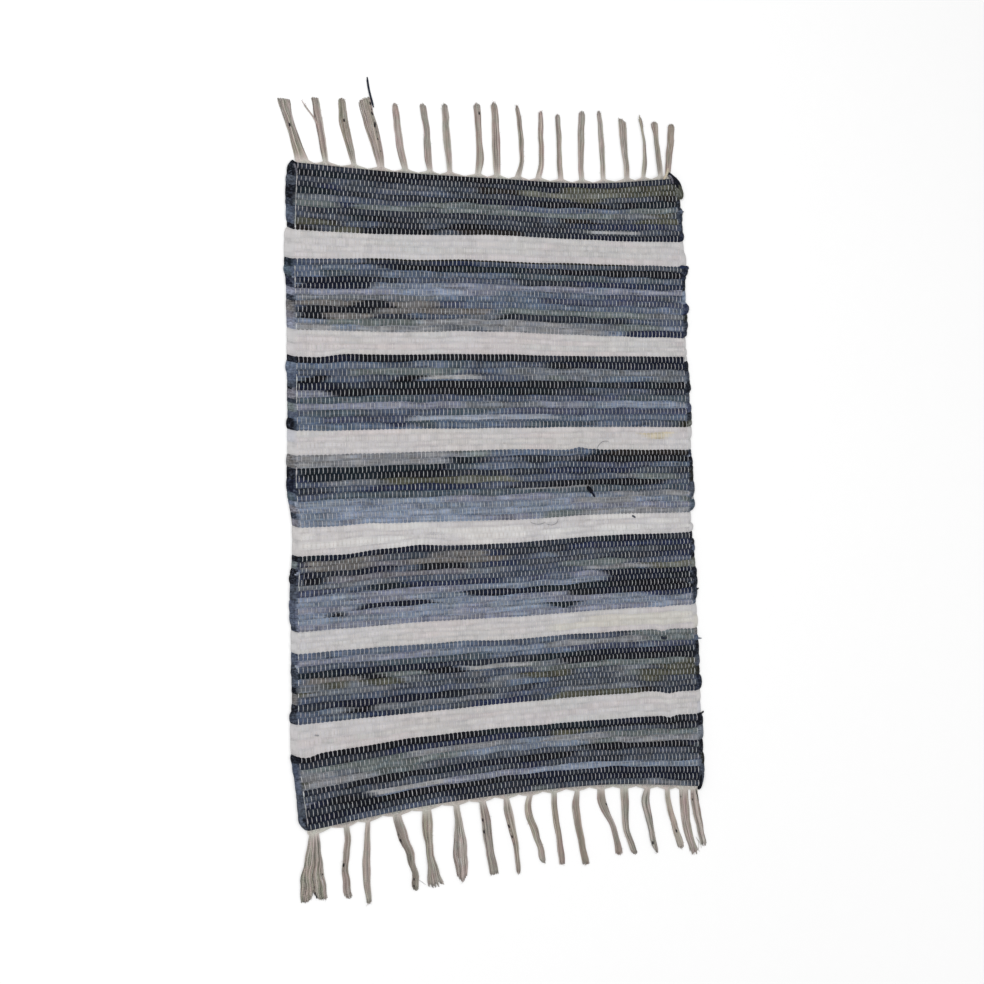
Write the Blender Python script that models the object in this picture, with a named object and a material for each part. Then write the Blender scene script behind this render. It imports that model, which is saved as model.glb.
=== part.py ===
"""Rag rug with a tasselled fringe at each end.

A flat, plain-weave rug: strips of rag are packed on a cotton warp, in seven dark bands parted by
six pale stripes.  The woven body is one solid, with a raised rib for each pick of rag and a bump
at the side for each turn of the rag.  Past each end the warp is gathered into tassels, and their
locks are fused at the root to a narrow heading strip.

Metres, +Z up.  +Y runs along the warp, +X across the rug, and the underside lies at z = 0.  The
tables below are in millimetres from the middle of the woven body.
"""
import math
from typing import NamedTuple

import bmesh
import bpy

MM = 0.001

# The woven body
BODY_WIDTH = 600.0
RIB_CREST = 5.5
RIB_VALLEY = 4.0
SIDE_CREST = 3.4
SIDE_VALLEY = 2.8
END_HEIGHT = 3.2
SIDE_UNDERCUT = 1.2
PICKS_PER_TURN = 2
STATIONS_PER_PICK = 2

# The fringe
HEADING_GAP = 0.3
HEADING_WIDTH = 5.0
HEADING_FLARE = 2.2
FLARE_REACH = 7.0
HEADING_HEIGHT = 3.4
HEADING_MARGIN = 5.0
LOCK_GAP = 0.5
LOCK_HEIGHT = 3.9
LOCK_HEIGHT_SPREAD = 0.5
TIP_HEIGHT = 2.4
TIP_SPREAD = 3.0
TIP_NARROWING = 0.55
LOCK_TOP_SHARE = 0.62
LOCK_STATIONS = (0.07, 0.2, 0.4, 0.6, 0.8, 1.0)
BETWEEN_TASSELS = (0.2, 0.5, 0.8)

# Numbers that mix others into an irregular spread
MIX_STEP = 12.9898
MIX_SCALE = 43758.5453
HEIGHT_MIX = 3

RAG_COLOUR = (0.055, 0.065, 0.09, 1.0)
WARP_COLOUR = (0.45, 0.41, 0.36, 1.0)
CLOTH_ROUGHNESS = 0.95


class Line(NamedTuple):
    """A line across the rug: the picks between it and the line before, and five heights."""
    picks: int
    left: float
    mid_left: float
    middle: float
    mid_right: float
    right: float


# From the top end down: the end, then the edges of each pale stripe, then the bottom end.
LINES = (
    Line(0, 450, 443, 441, 441, 456),
    Line(11, 358, 356, 360, 358, 360),
    Line(4, 318, 323, 324, 323, 323),
    Line(12, 223, 221, 223, 219, 217),
    Line(4, 187, 190, 191, 189, 189),
    Line(11, 86, 87, 87, 87, 85),
    Line(4, 53, 55, 56, 54, 51),
    Line(11, -44, -42, -43, -40, -42),
    Line(4, -83, -76, -76, -71, -71),
    Line(13, -184, -180, -180, -178, -178),
    Line(4, -213, -210, -212, -209, -213),
    Line(11, -307, -304, -301, -300, -305),
    Line(4, -348, -339, -334, -336, -339),
    Line(11, -450, -434, -428, -430, -447),
)


class Side(NamedTuple):
    """The two side edges at one height, without the turns of the rag."""
    height: float
    left: float
    right: float


SIDES = (
    Side(456, -294, 294),
    Side(400, -298, 296),
    Side(322, -302, 299),
    Side(210, -304, 298),
    Side(80, -307, 299),
    Side(0, -309, 299),
    Side(-50, -305, 297),
    Side(-145, -310, 298),
    Side(-250, -312, 298),
    Side(-340, -315, 299),
    Side(-400, -311, 299),
    Side(-450, -302, 298),
)

# How far each turn of rag stands out, taken in order down each side and then over again.
LEFT_TURNS = (2.0, 1.4, 2.2, 1.2, 1.8, 2.6, 1.0, 1.6)
RIGHT_TURNS = (3.0, 1.6, 2.4, 3.6, 1.2, 4.4, 2.0, 4.8, 1.4, 1.8, 2.6)

# Places of the body's points across the rug, as shares of its width.
COLUMNS = (0.0, 0.012, 0.05, 0.17, 0.33, 0.5, 0.67, 0.83, 0.95, 0.988, 1.0)


class Tassel(NamedTuple):
    """One tassel: where its root stands, three sideways shifts from there, and four widths.

    near is a fifth of the way along, far is three fifths, and tip is the end.
    """
    root: float
    near: float
    far: float
    tip: float
    neck: float
    waist: float
    belly: float
    brush: float
    length: float
    locks: int


TOP_TASSELS = (
    Tassel(-276, -6, -16, -23, 21, 18, 14, 19, 85, 5),
    Tassel(-249, -3, -9, -27, 2, 2.4, 2.4, 2, 86, 1),
    Tassel(-243, -2, -7, -12, 7, 10, 10, 11, 92, 3),
    Tassel(-203, -4, -12, -14, 6, 10, 13, 10, 91, 3),
    Tassel(-165, -3, -12, -21, 9, 14, 18, 18, 94, 4),
    Tassel(-158, -1, -12, -24, 1.6, 1.6, 1.4, 1.4, 124, 1),
    Tassel(-130, -4, -9, -12, 8, 10, 10, 8, 91, 3),
    Tassel(-94, -2, -3, -8, 7, 10, 9, 10, 94, 3),
    Tassel(-65, -1, -3, -4, 7, 9, 11, 9, 96, 3),
    Tassel(-23, 4, 3, 2, 8, 11, 9, 11, 100, 3),
    Tassel(6, 0, 0, -1, 9, 12, 11, 10, 103, 3),
    Tassel(38, 6, 6, 2, 9, 6, 7, 6, 99, 2),
    Tassel(69, 5, 6, 7, 9, 8, 8, 7, 96, 2),
    Tassel(104, -1, -1, -2, 8, 8, 8, 8, 94, 3),
    Tassel(137, -1, 1, 4, 8, 8, 11, 10, 104, 3),
    Tassel(171, 0, -1, -3, 7, 8, 8, 7, 100, 2),
    Tassel(209, 0, -3, -4, 8, 9, 11, 13, 87, 3),
    Tassel(236, 3, 3, -3, 7, 8, 4, 6, 92, 2),
    Tassel(264, -1, -4, -7, 8, 9, 8, 12, 80, 3),
    Tassel(276, 2, 6, 9, 9, 10, 12, 11, 77, 3),
)

BOTTOM_TASSELS = (
    Tassel(-291, -2, -8, -11, 7, 9, 14, 15, 88, 4),
    Tassel(-283, 0, 0, 6, 7, 9, 14, 18, 93, 4),
    Tassel(-243, 1, -4, 0, 7, 8, 9, 11, 97, 3),
    Tassel(-213, -2, -4, -2, 6, 8, 11, 6, 113, 3),
    Tassel(-172, 5, 19, 25, 12, 14, 10, 10, 105, 4),
    Tassel(-129, 0, 3, 10, 12, 15, 10, 24, 101, 4),
    Tassel(-86, 2, 4, 6, 8, 10, 22, 17, 99, 4),
    Tassel(-48, 4, 8, 15, 9, 13, 12, 14, 99, 3),
    Tassel(-12, 3, 12, 15, 7, 13, 8, 5, 108, 3),
    Tassel(24, -4, 8, 18, 8, 10, 10, 9, 97, 3),
    Tassel(61, 0, 5, 9, 8, 9, 9, 10, 103, 3),
    Tassel(97, -3, 2, 10, 6, 11, 10, 11, 103, 3),
    Tassel(134, 1, 18, 26, 11, 13, 9, 12, 96, 3),
    Tassel(171, 0, 1, 14, 12, 12, 10, 10, 97, 3),
    Tassel(208, -4, 3, 10, 9, 13, 10, 8, 93, 3),
    Tassel(240, 1, 10, 20, 8, 8, 11, 10, 89, 3),
    Tassel(267, 0, 4, 14, 13, 13, 14, 13, 95, 4),
    Tassel(284, 1, 6, 13, 11, 12, 11, 10, 82, 3),
)

TASSEL_MARKS = (0.0, 0.2, 0.6, 1.0)


def curve_at(marks, values, place):
    """Value at a place on the smooth curve through the values at rising marks."""
    place = min(max(place, marks[0]), marks[-1])
    step = 0
    while step < len(marks) - 2 and place > marks[step + 1]:
        step += 1
    slopes = []
    for index in (step, step + 1):
        low = max(index - 1, 0)
        high = min(index + 1, len(marks) - 1)
        slopes.append((values[high] - values[low]) / (marks[high] - marks[low]))
    span = marks[step + 1] - marks[step]
    t = (place - marks[step]) / span
    start_share = (1 + 2 * t) * (1 - t) ** 2
    end_share = t * t * (3 - 2 * t)
    bend = span * (slopes[0] * t * (1 - t) ** 2 - slopes[1] * t * t * (1 - t))
    return values[step] * start_share + values[step + 1] * end_share + bend


def line_height(line, x):
    """Height of a line across the rug at a place across it."""
    half = BODY_WIDTH / 2
    marks = [-half + half * quarter / 2 for quarter in range(5)]
    return curve_at(marks, line[1:], x)


def pick_height(level, x):
    """Height of a level, counted in picks from the top end, at a place across the rug."""
    above = 0
    for before, line in zip(LINES, LINES[1:]):
        if level <= above + line.picks or line is LINES[-1]:
            share = (level - above) / line.picks
            upper = line_height(before, x)
            return upper + (line_height(line, x) - upper) * share
        above += line.picks


def pick_count():
    """Number of picks of rag in the whole body."""
    return sum(line.picks for line in LINES)


def side_places(level):
    """The left and right edges of the body at a level, turns of the rag included."""
    marks = [-side.height for side in SIDES]
    left_height = pick_height(level, -BODY_WIDTH / 2)
    right_height = pick_height(level, BODY_WIDTH / 2)
    left = curve_at(marks, [side.left for side in SIDES], -left_height)
    right = curve_at(marks, [side.right for side in SIDES], -right_height)
    return left - turn_bump(level, LEFT_TURNS, 0), right + turn_bump(level, RIGHT_TURNS, 1)


def turn_bump(level, turns, first_pick):
    """How far the turn of rag at a level stands out from the side."""
    place = (level + first_pick) / PICKS_PER_TURN
    number = math.floor(place)
    return turns[number % len(turns)] * math.sqrt(abs(math.sin(math.pi * place)))


def body_stations():
    """Levels of the body's rows of points: a valley, a crest, a valley and so on."""
    return [index / STATIONS_PER_PICK for index in range(pick_count() * STATIONS_PER_PICK + 1)]


def body_row(level):
    """Places (x, y) of one row of the body's points, from left to right."""
    left, right = side_places(level)
    places = [left + (right - left) * share for share in COLUMNS]
    return [(x, pick_height(level, x)) for x in places]


def top_heights(level):
    """Heights of one row of the body's upper points, from left to right."""
    at_end = level in (0, pick_count())
    on_crest = level != math.floor(level)
    middle = END_HEIGHT if at_end else RIB_CREST if on_crest else RIB_VALLEY
    side = SIDE_CREST if on_crest else SIDE_VALLEY
    return [side] + [middle] * (len(COLUMNS) - 2) + [side]


def build_body():
    """Mesh of the woven body: ribbed above, flat below, with rounded sides."""
    mesh = bmesh.new()
    levels = body_stations()
    tops = []
    floors = []
    for level in levels:
        row = body_row(level)
        heights = top_heights(level)
        tops.append([mesh.verts.new((x * MM, y * MM, z * MM)) for (x, y), z in zip(row, heights)])
        inset = [SIDE_UNDERCUT] + [0] * (len(row) - 2) + [-SIDE_UNDERCUT]
        wanted = range(len(row)) if level in (levels[0], levels[-1]) else (0, len(row) - 1)
        floors.append([mesh.verts.new(((row[i][0] + inset[i]) * MM, row[i][1] * MM, 0))
                       for i in wanted])
    for upper, lower in zip(tops, tops[1:]):
        for left in range(len(COLUMNS) - 1):
            mesh.faces.new((upper[left], lower[left], lower[left + 1], upper[left + 1]))
    for index in range(len(levels) - 1):
        for side in (0, -1):
            mesh.faces.new((tops[index][side], tops[index + 1][side],
                            floors[index + 1][side], floors[index][side]))
    for end in (0, -1):
        for left in range(len(COLUMNS) - 1):
            mesh.faces.new((tops[end][left], tops[end][left + 1],
                            floors[end][left + 1], floors[end][left]))
    left_side = [floor[0] for floor in floors[1:-1]]
    right_side = [floor[-1] for floor in floors[1:-1]]
    mesh.faces.new(floors[0][::-1] + left_side + floors[-1] + right_side[::-1])
    return mesh


def end_line(level):
    """Make the function that gives the height of the body's end at a place across it."""
    row = body_row(level)

    def height(x):
        """Height of the end's edge at x."""
        for (x_low, y_low), (x_high, y_high) in zip(row, row[1:]):
            if x <= x_high or (x_high, y_high) == row[-1]:
                return y_low + (y_high - y_low) * (x - x_low) / (x_high - x_low)

    return height


def lock_edges(tassel, share, number):
    """Left and right edges of one lock of a tassel, at a share of the tassel's length."""
    middle = tassel.root + curve_at(TASSEL_MARKS, (0, tassel.near, tassel.far, tassel.tip), share)
    widths = (tassel.neck, tassel.waist, tassel.belly, tassel.brush)
    width = curve_at(TASSEL_MARKS, widths, share)
    pitch = (width + LOCK_GAP) / tassel.locks
    left = middle - (width + LOCK_GAP) / 2 + pitch * number + LOCK_GAP / 2
    return left, left + pitch - LOCK_GAP


def uneven(*numbers):
    """An even spread between -1 and 1 that looks irregular, the same for the same numbers."""
    mixed = math.sin(sum((index + 1) * MIX_STEP * value for index, value in enumerate(numbers)))
    return 2 * (mixed * MIX_SCALE % 1) - 1


def heading_width(x, tassels):
    """Width of the heading strip at a place: wider at the roots and narrow between them."""
    nearest = min(abs(x - tassel.root) for tassel in tassels)
    return HEADING_WIDTH - HEADING_FLARE / 2 + HEADING_FLARE * math.exp(-nearest / FLARE_REACH)


def heading_places(tassels):
    """Places of the heading's points across the rug, and the places where a lock starts."""
    starts = {}
    places = [tassels[0].root - tassels[0].neck / 2 - HEADING_MARGIN]
    for index, tassel in enumerate(tassels):
        if index:
            before = tassels[index - 1]
            gap_start = before.root + before.neck / 2
            gap_end = tassel.root - tassel.neck / 2
            gap = gap_end - gap_start
            if gap > FLARE_REACH:
                places.extend(gap_start + gap * share for share in BETWEEN_TASSELS)
        for number in range(tassel.locks):
            left, right = lock_edges(tassel, 0, number)
            starts[len(places)] = (tassel, number)
            places.extend((left, right))
    places.append(tassels[-1].root + tassels[-1].neck / 2 + HEADING_MARGIN)
    return places, starts


def grow_lock(mesh, root, tassel, number, outward):
    """Grow one four-sided lock from the heading, from its four root points to its closed tip."""
    root_height = root[0].co.y / MM
    height = LOCK_HEIGHT + LOCK_HEIGHT_SPREAD * uneven(number, tassel.root, HEIGHT_MIX)
    ring = root
    for share in LOCK_STATIONS:
        left, right = lock_edges(tassel, share, number)
        top = height + (TIP_HEIGHT - height) * share * share
        reach = tassel.length * share
        if share == LOCK_STATIONS[-1]:
            reach += TIP_SPREAD * uneven(tassel.root, number)
            middle = (left + right) / 2
            left = middle + (left - middle) * TIP_NARROWING
            right = middle + (right - middle) * TIP_NARROWING
        inset = (right - left) * (1 - LOCK_TOP_SHARE) / 2
        y = root_height + outward * reach
        corners = ((left, 0), (right, 0), (right - inset, top), (left + inset, top))
        grown = [mesh.verts.new((x * MM, y * MM, z * MM)) for x, z in corners]
        for side in range(4):
            mesh.faces.new((ring[side], ring[side - 3], grown[side - 3], grown[side]))
        ring = grown
    mesh.faces.new(ring)


def build_fringe(tassels, end_level, outward):
    """Mesh of one fringe: the heading strip along the body's end, and its locks."""
    mesh = bmesh.new()
    places, starts = heading_places(tassels)
    edge = end_line(end_level)
    sections = []
    for x in places:
        inner = edge(x) + outward * HEADING_GAP
        outer = inner + outward * heading_width(x, tassels)
        corners = ((inner, 0), (outer, 0), (outer, HEADING_HEIGHT), (inner, HEADING_HEIGHT))
        sections.append([mesh.verts.new((x * MM, y * MM, z * MM)) for y, z in corners])
    for index, (near, far) in enumerate(zip(sections, sections[1:])):
        for side in (0, 2, 3):
            mesh.faces.new((near[side], near[side - 3], far[side - 3], far[side]))
        if index in starts:
            tassel, number = starts[index]
            grow_lock(mesh, [near[1], far[1], far[2], near[2]], tassel, number, outward)
        else:
            mesh.faces.new((near[1], near[2], far[2], far[1]))
    mesh.faces.new(sections[0])
    mesh.faces.new(sections[-1])
    return mesh


def cloth_material(name, colour):
    """Plain material of one cloth."""
    material = bpy.data.materials.new(name)
    material.use_nodes = True
    shader = material.node_tree.nodes["Principled BSDF"]
    shader.inputs["Base Color"].default_value = colour
    shader.inputs["Roughness"].default_value = CLOTH_ROUGHNESS
    shader.inputs["Metallic"].default_value = 0.0
    material.diffuse_color = colour
    return material


def add_object(name, mesh, material):
    """Put a finished mesh in the scene as a named object, its faces turned outward."""
    bmesh.ops.recalc_face_normals(mesh, faces=mesh.faces)
    data = bpy.data.meshes.new(name)
    mesh.to_mesh(data)
    mesh.free()
    data.materials.append(material)
    piece = bpy.data.objects.new(name, data)
    bpy.context.scene.collection.objects.link(piece)
    return piece


def centre_over_origin(pieces):
    """Move all the pieces together so that their shared box stands centred over the origin."""
    points = [vertex.co for piece in pieces for vertex in piece.data.vertices]
    middle_x = (min(point.x for point in points) + max(point.x for point in points)) / 2
    middle_y = (min(point.y for point in points) + max(point.y for point in points)) / 2
    for piece in pieces:
        piece.location = (-middle_x, -middle_y, 0)


def main():
    """Build the rug and its two fringes."""
    for leftover in list(bpy.data.objects):
        bpy.data.objects.remove(leftover)
    rag = cloth_material("rag_weave", RAG_COLOUR)
    warp = cloth_material("warp_cotton", WARP_COLOUR)
    pieces = [
        add_object("rug", build_body(), rag),
        add_object("fringe_top", build_fringe(TOP_TASSELS, 0, 1), warp),
        add_object("fringe_bottom", build_fringe(BOTTOM_TASSELS, pick_count(), -1), warp),
    ]
    centre_over_origin(pieces)


main()
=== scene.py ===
"""Looks of a rag rug: rags woven on a cotton warp, with a tasselled fringe at each end.

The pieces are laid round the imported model.  Tables are in millimetres from the middle of the woven
body, with +X across the rug and +Y towards its top end, and `Layout` holds what they share.  Levels
count picks of rag from the top end down, so a rib with number n lies between levels n and n + 1.
"""
import logging
import math
from collections.abc import Sequence
from dataclasses import dataclass, field
from enum import Enum, IntEnum
from typing import NamedTuple

import bpy
import numpy as np
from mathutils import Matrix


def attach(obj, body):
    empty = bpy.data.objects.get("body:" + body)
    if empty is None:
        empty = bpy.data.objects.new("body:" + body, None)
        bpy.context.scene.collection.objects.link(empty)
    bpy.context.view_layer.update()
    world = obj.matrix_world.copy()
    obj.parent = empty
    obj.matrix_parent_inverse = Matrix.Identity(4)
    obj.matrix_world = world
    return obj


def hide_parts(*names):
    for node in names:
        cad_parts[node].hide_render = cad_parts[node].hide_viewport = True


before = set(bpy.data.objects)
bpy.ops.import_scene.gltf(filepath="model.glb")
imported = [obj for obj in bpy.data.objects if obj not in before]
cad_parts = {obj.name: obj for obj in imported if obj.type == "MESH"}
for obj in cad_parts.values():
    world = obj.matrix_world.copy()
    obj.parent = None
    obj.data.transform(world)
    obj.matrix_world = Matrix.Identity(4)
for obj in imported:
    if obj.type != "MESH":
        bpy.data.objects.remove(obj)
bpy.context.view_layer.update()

LOG = logging.getLogger("rag_rug")
MM = 0.001
BODY_MIDDLE = (6.961, -7.115)  # middle of the woven body, from the middle of the whole rug
BODY = "root"
RAG_SLOT = "rag_weave"
COTTON_SLOT = "warp_cotton"
RAG_COLOUR = "rag_colour"
RAG_NUMBER = "rag_number"
YARN_COLOUR = "yarn_colour"
YARN_MAP = "yarn_turns"
BAKE_MAP = "OFBake"
HALF_ACROSS = 330.0  # half of the width and height that the rags' map and random tables cover
HALF_UP = 470.0
LEFT_TURN_NUMBERS = 200.0  # the turns' rag numbers start here, past the numbers of all the ribs
RIGHT_TURN_NUMBERS = 400.0

Array = np.ndarray
Numbers = float | Sequence[float] | Array
Pair = tuple[float, float]
Triple = tuple[float, float, float]
Colour = tuple[float, ...]
Material = bpy.types.Material
Piece = bpy.types.Object
Socket = bpy.types.NodeSocket
Value = Socket | float | Colour


class Seed(IntEnum):
    """Where each run of random numbers starts."""
    RAGS = 5
    WOBBLES = 11
    SWAYS = 12
    FATNESS = 21
    SHADES = 22
    PILLOWS = 23
    TURN_SHADES = 24
    FOLDS = 25
    HUES = 26
    WARP_TONES = 31
    WARP_PATHS = 32
    TOP_TASSELS = 41
    BOTTOM_TASSELS = 42


# -------- tables of the real rug


class Cloth(Enum):
    """Each cloth that the rags are torn from, by its colour as seen (red, green, blue to 255)."""
    INK = (9, 11, 20)
    BLACK = (15, 18, 26)
    NAVY_BLACK = (17, 22, 38)
    TEAL_BLACK = (18, 27, 35)
    OLIVE_BLACK = (28, 28, 22)
    BROWN_BLACK = (30, 27, 27)
    CHARCOAL = (36, 41, 52)
    NAVY = (34, 41, 64)
    GRAPHITE = (60, 66, 77)
    SLATE = (67, 75, 91)
    INDIGO = (62, 68, 88)
    TEAL = (66, 77, 87)
    OLIVE = (70, 71, 62)
    GREY = (95, 100, 108)
    STEEL = (84, 95, 113)
    KHAKI = (96, 98, 91)
    TAUPE = (100, 98, 98)
    MAUVE = (102, 101, 109)
    BLUE_GREY = (107, 117, 133)
    PALE_BLUE = (120, 130, 148)
    GREEN_GREY = (94, 102, 104)
    LILAC = (116, 120, 136)
    PEWTER = (121, 123, 128)
    ASH = (143, 144, 147)
    MIST = (136, 143, 157)
    STAIN = (184, 176, 158)
    PALE_GREY = (174, 175, 181)
    OAT = (186, 184, 179)
    ECRU = (181, 180, 181)
    BLUSH = (183, 179, 181)
    BONE = (183, 181, 183)
    CHALK = (195, 194, 194)


class Line(NamedTuple):
    """A line across the rug: the picks between it and the line before, and five heights."""
    picks: int
    left: float
    mid_left: float
    middle: float
    mid_right: float
    right: float


LINES = (
    Line(0, 450, 443, 441, 441, 456),
    Line(11, 358, 356, 360, 358, 360),
    Line(4, 318, 323, 324, 323, 323),
    Line(12, 223, 221, 223, 219, 217),
    Line(4, 187, 190, 191, 189, 189),
    Line(11, 86, 87, 87, 87, 85),
    Line(4, 53, 55, 56, 54, 51),
    Line(11, -44, -42, -43, -40, -42),
    Line(4, -83, -76, -76, -71, -71),
    Line(13, -184, -180, -180, -178, -178),
    Line(4, -213, -210, -212, -209, -213),
    Line(11, -307, -304, -301, -300, -305),
    Line(4, -348, -339, -334, -336, -339),
    Line(11, -450, -434, -428, -430, -447),
)


class Side(NamedTuple):
    """The two side edges at one height, without the turns of the rag."""
    height: float
    left: float
    right: float


SIDES = (
    Side(456, -294, 294),
    Side(400, -298, 296),
    Side(322, -302, 299),
    Side(210, -304, 298),
    Side(80, -307, 299),
    Side(0, -309, 299),
    Side(-50, -305, 297),
    Side(-145, -310, 298),
    Side(-250, -312, 298),
    Side(-340, -315, 299),
    Side(-400, -311, 299),
    Side(-450, -308, 298),
)


class Mix(Enum):
    """Each sort of rib as it reads from a step away, by the cloths that its rags are torn from."""
    NIGHT = "black ink navy_black charcoal teal_black"
    DUSK = "charcoal graphite navy charcoal slate"
    DENIM = "slate steel indigo steel teal slate"
    SKY = "blue_grey pale_blue blue_grey lilac"
    FOG = "grey slate steel grey slate green_grey"
    DAWN = "lilac pale_blue lilac"
    HAZE = "pewter grey pewter blue_grey green_grey"
    HEATHER = "mauve taupe graphite mauve"
    DIM = "graphite olive charcoal graphite brown_black"
    MOSS = "green_grey olive grey graphite"
    CREAM = "bone ecru bone ecru blush"
    MILK = "chalk bone chalk"

    @property
    def cloths(self) -> list[Cloth]:
        """Its cloths, each as often as the mix names it."""
        return [Cloth[word.upper()] for word in self.value.split()]


# The ribs of each band from the top end down, each by its mix of rags.
RIBS = (
    "night night dim dusk night fog moss dim dim dusk dim",
    "cream cream cream cream",
    "dusk night denim dusk sky sky sky denim fog fog haze haze",
    "cream cream cream cream",
    "night denim fog fog night night denim sky denim denim denim",
    "cream cream cream cream",
    "fog dusk denim dusk fog dusk denim sky sky sky sky",
    "milk milk milk milk",
    "night dusk fog dusk fog fog denim sky sky sky sky sky dawn",
    "cream cream cream cream",
    "fog sky denim night fog fog moss fog dusk fog dusk",
    "cream cream cream cream",
    "night dusk haze haze moss night dusk sky night night dusk",
)


class Streak(NamedTuple):
    """A stretch of a rib that stands out: its two ends, its cloth or mix, and the rows it covers."""
    start: float
    end: float
    rags: Cloth | Mix
    parts: tuple[int, ...]

    @classmethod
    def read(cls, text: str) -> "Streak":
        """Read a streak from its words in the table."""
        start, end, name, *parts = text.split()
        kind = Mix if name.upper() in Mix.__members__ else Cloth
        return cls(float(start), float(end), kind[name.upper()], tuple(map(int, parts)) or (0, 1, 2))


# The streaks of each rib, in the order in which they are laid: from, to, the cloth or mix, and the
# rows of the rib, from 0 at the top to 2, where they cover fewer than all three.
STREAKS = {
    1: "105 285 olive",
    2: "40 200 khaki, 200 285 olive",
    3: "-160 -130 grey 0, 120 285 dim",
    6: "-230 -205 navy",
    8: "-212 -120 night, 90 298 dusk",
    9: "-295 -225 dim, -75 -8 ink, 80 298 dusk, 140 222 ash 1",
    10: "-200 -85 black, 50 298 night",
    15: "-300 -198 slate, -198 215 olive_black 0",
    16: "-300 -172 steel",
    17: "-165 0 steel",
    18: "-290 -180 navy_black",
    19: "-290 -180 night",
    20: "-300 -5 dawn, 0 298 denim",
    21: "-290 -92 grey, -88 298 denim",
    22: "-290 -214 taupe, -214 -153 black, -153 -88 taupe, -85 -50 indigo, -50 298 steel",
    23: "-288 -178 black, -178 -10 taupe, 160 190 green_grey",
    24: "-288 -248 black, -248 -184 taupe, -184 -125 charcoal, 0 200 night",
    26: "196 298 navy",
    28: "-31 59 blush",
    32: "70 300 night",
    33: "-25 298 fog",
    34: "-286 -249 ink, -155 -115 ink, -113 -30 ash 0 1",
    36: "-306 -252 lilac, 84 290 dusk",
    38: "-60 60 grey",
    40: "-138 84 mist 0 1",
    41: "-165 -145 navy, 275 299 olive_black",
    43: "222 262 stain",
    46: "-307 -60 pewter, 138 155 teal_black, 160 299 brown_black",
    47: "-307 -83 pewter, -80 -20 night, 119 299 night",
    48: "-300 -80 night, 20 230 denim",
    49: "-290 -80 night",
    50: "-175 -70 olive, -70 14 khaki",
    51: "14 247 night",
    52: "22 128 pewter 0",
    53: "150 298 haze",
    54: "110 298 haze",
    56: "60 298 haze",
    62: "-290 -30 heather",
    63: "-290 0 heather, 70 298 dim",
    64: "-298 -165 night, -132 -60 black",
    65: "-298 -262 black, -260 -60 heather",
    66: "120 225 pewter 0 1, 225 298 khaki",
    67: "-208 -143 teal_black, -143 -8 navy, 98 147 lilac, 147 298 navy_black",
    68: "147 298 night",
    69: "-65 298 night",
    70: "-218 -110 navy_black, 90 298 night",
    71: "-258 -238 black, 215 298 navy",
    72: "64 105 teal_black",
    75: "120 290 oat",
    76: "60 290 oat",
    78: "-300 -180 steel",
    79: "60 298 haze",
    82: "-295 -222 taupe, -222 -187 black, -128 -70 ink, -60 30 ash 0 1, 75 299 night",
    83: "-295 -60 moss, 40 299 moss",
    84: "-295 -120 moss, 20 299 moss",
    85: "60 299 moss",
    86: "-305 -30 night, 110 299 moss",
    87: "-234 -200 ink, 150 299 moss",
    88: "-312 -155 dusk, 60 299 dim",
    94: "60 298 dim, 60 298 black 0",
    95: "150 298 green_grey",
    96: "180 250 pewter",
    97: "-300 -130 haze, 110 290 night",
    98: "-312 -240 dusk, 95 299 dim",
    99: "100 299 dusk",
    100: "-300 -205 night, -205 -105 ash 0 1",
    103: "30 298 moss",
}

# The turns of rag down each side, band by band: the cloth, or two with a stroke between (the outer
# and the inner part), the turn's share of the band, and how far it stands out.
LEFT_TURNS = (
    "ink 16 1.6, graphite 10 2.6, ink 14 2.4, charcoal 9 2.0, slate 17 1.0, ink 6 -1.0",
    "ecru 13 2.4, ecru 17 2.6",
    "teal_black 8 2.4, teal/slate 9 3.4, teal_black/mist 3 1.6, navy_black 10 0.6, lilac 7 0.0,"
    " charcoal/black 6 0.2, taupe 11 0.6, mauve 8 0.4, lilac 9 0.2",
    "ecru 14 0.2, bone 12 0.6",
    "black/charcoal 6 0.4, steel 13 2.6, slate 8 0.6, graphite 4 0.2, black/mauve 3 0.4, mauve 10 0.6,"
    " charcoal 4 0.6, green_grey 9 0.2, slate 7 0.2, ink 11 2.2",
    "pale_grey 13 0.8, ecru 12 0.6",
    "taupe 13 2.0, ink 12 1.4, navy_black 13 2.2, teal/steel 8 1.4, steel/mist 5 1.0, mauve 7 0.4,"
    " charcoal/graphite 8 0.0, mauve 6 0.0",
    "ecru 14 0.4, ecru 14 0.2",
    "ink 6 0.4, green_grey/graphite 8 0.4, black/mist 5 2.2, ink/charcoal 10 3.2, graphite 16 1.6,"
    " slate 11 2.6, slate/indigo 15 2.0, charcoal 4 0.0",
    "ecru 10 0.6, ecru 11 0.8",
    "slate/navy 12 0.6, charcoal/mist 5 1.0, charcoal/graphite 8 1.4, graphite 10 0.4, black 7 0.2,"
    " taupe 10 -0.4, ink 9 0.4, charcoal 11 2.8",
    "bone 16 1.6, ecru 15 1.6",
    "black 10 2.8, slate 13 1.6, slate 16 0.6, graphite/charcoal 6 0.2, graphite 15 0.4, graphite/ink 14 0.6",
)
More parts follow.
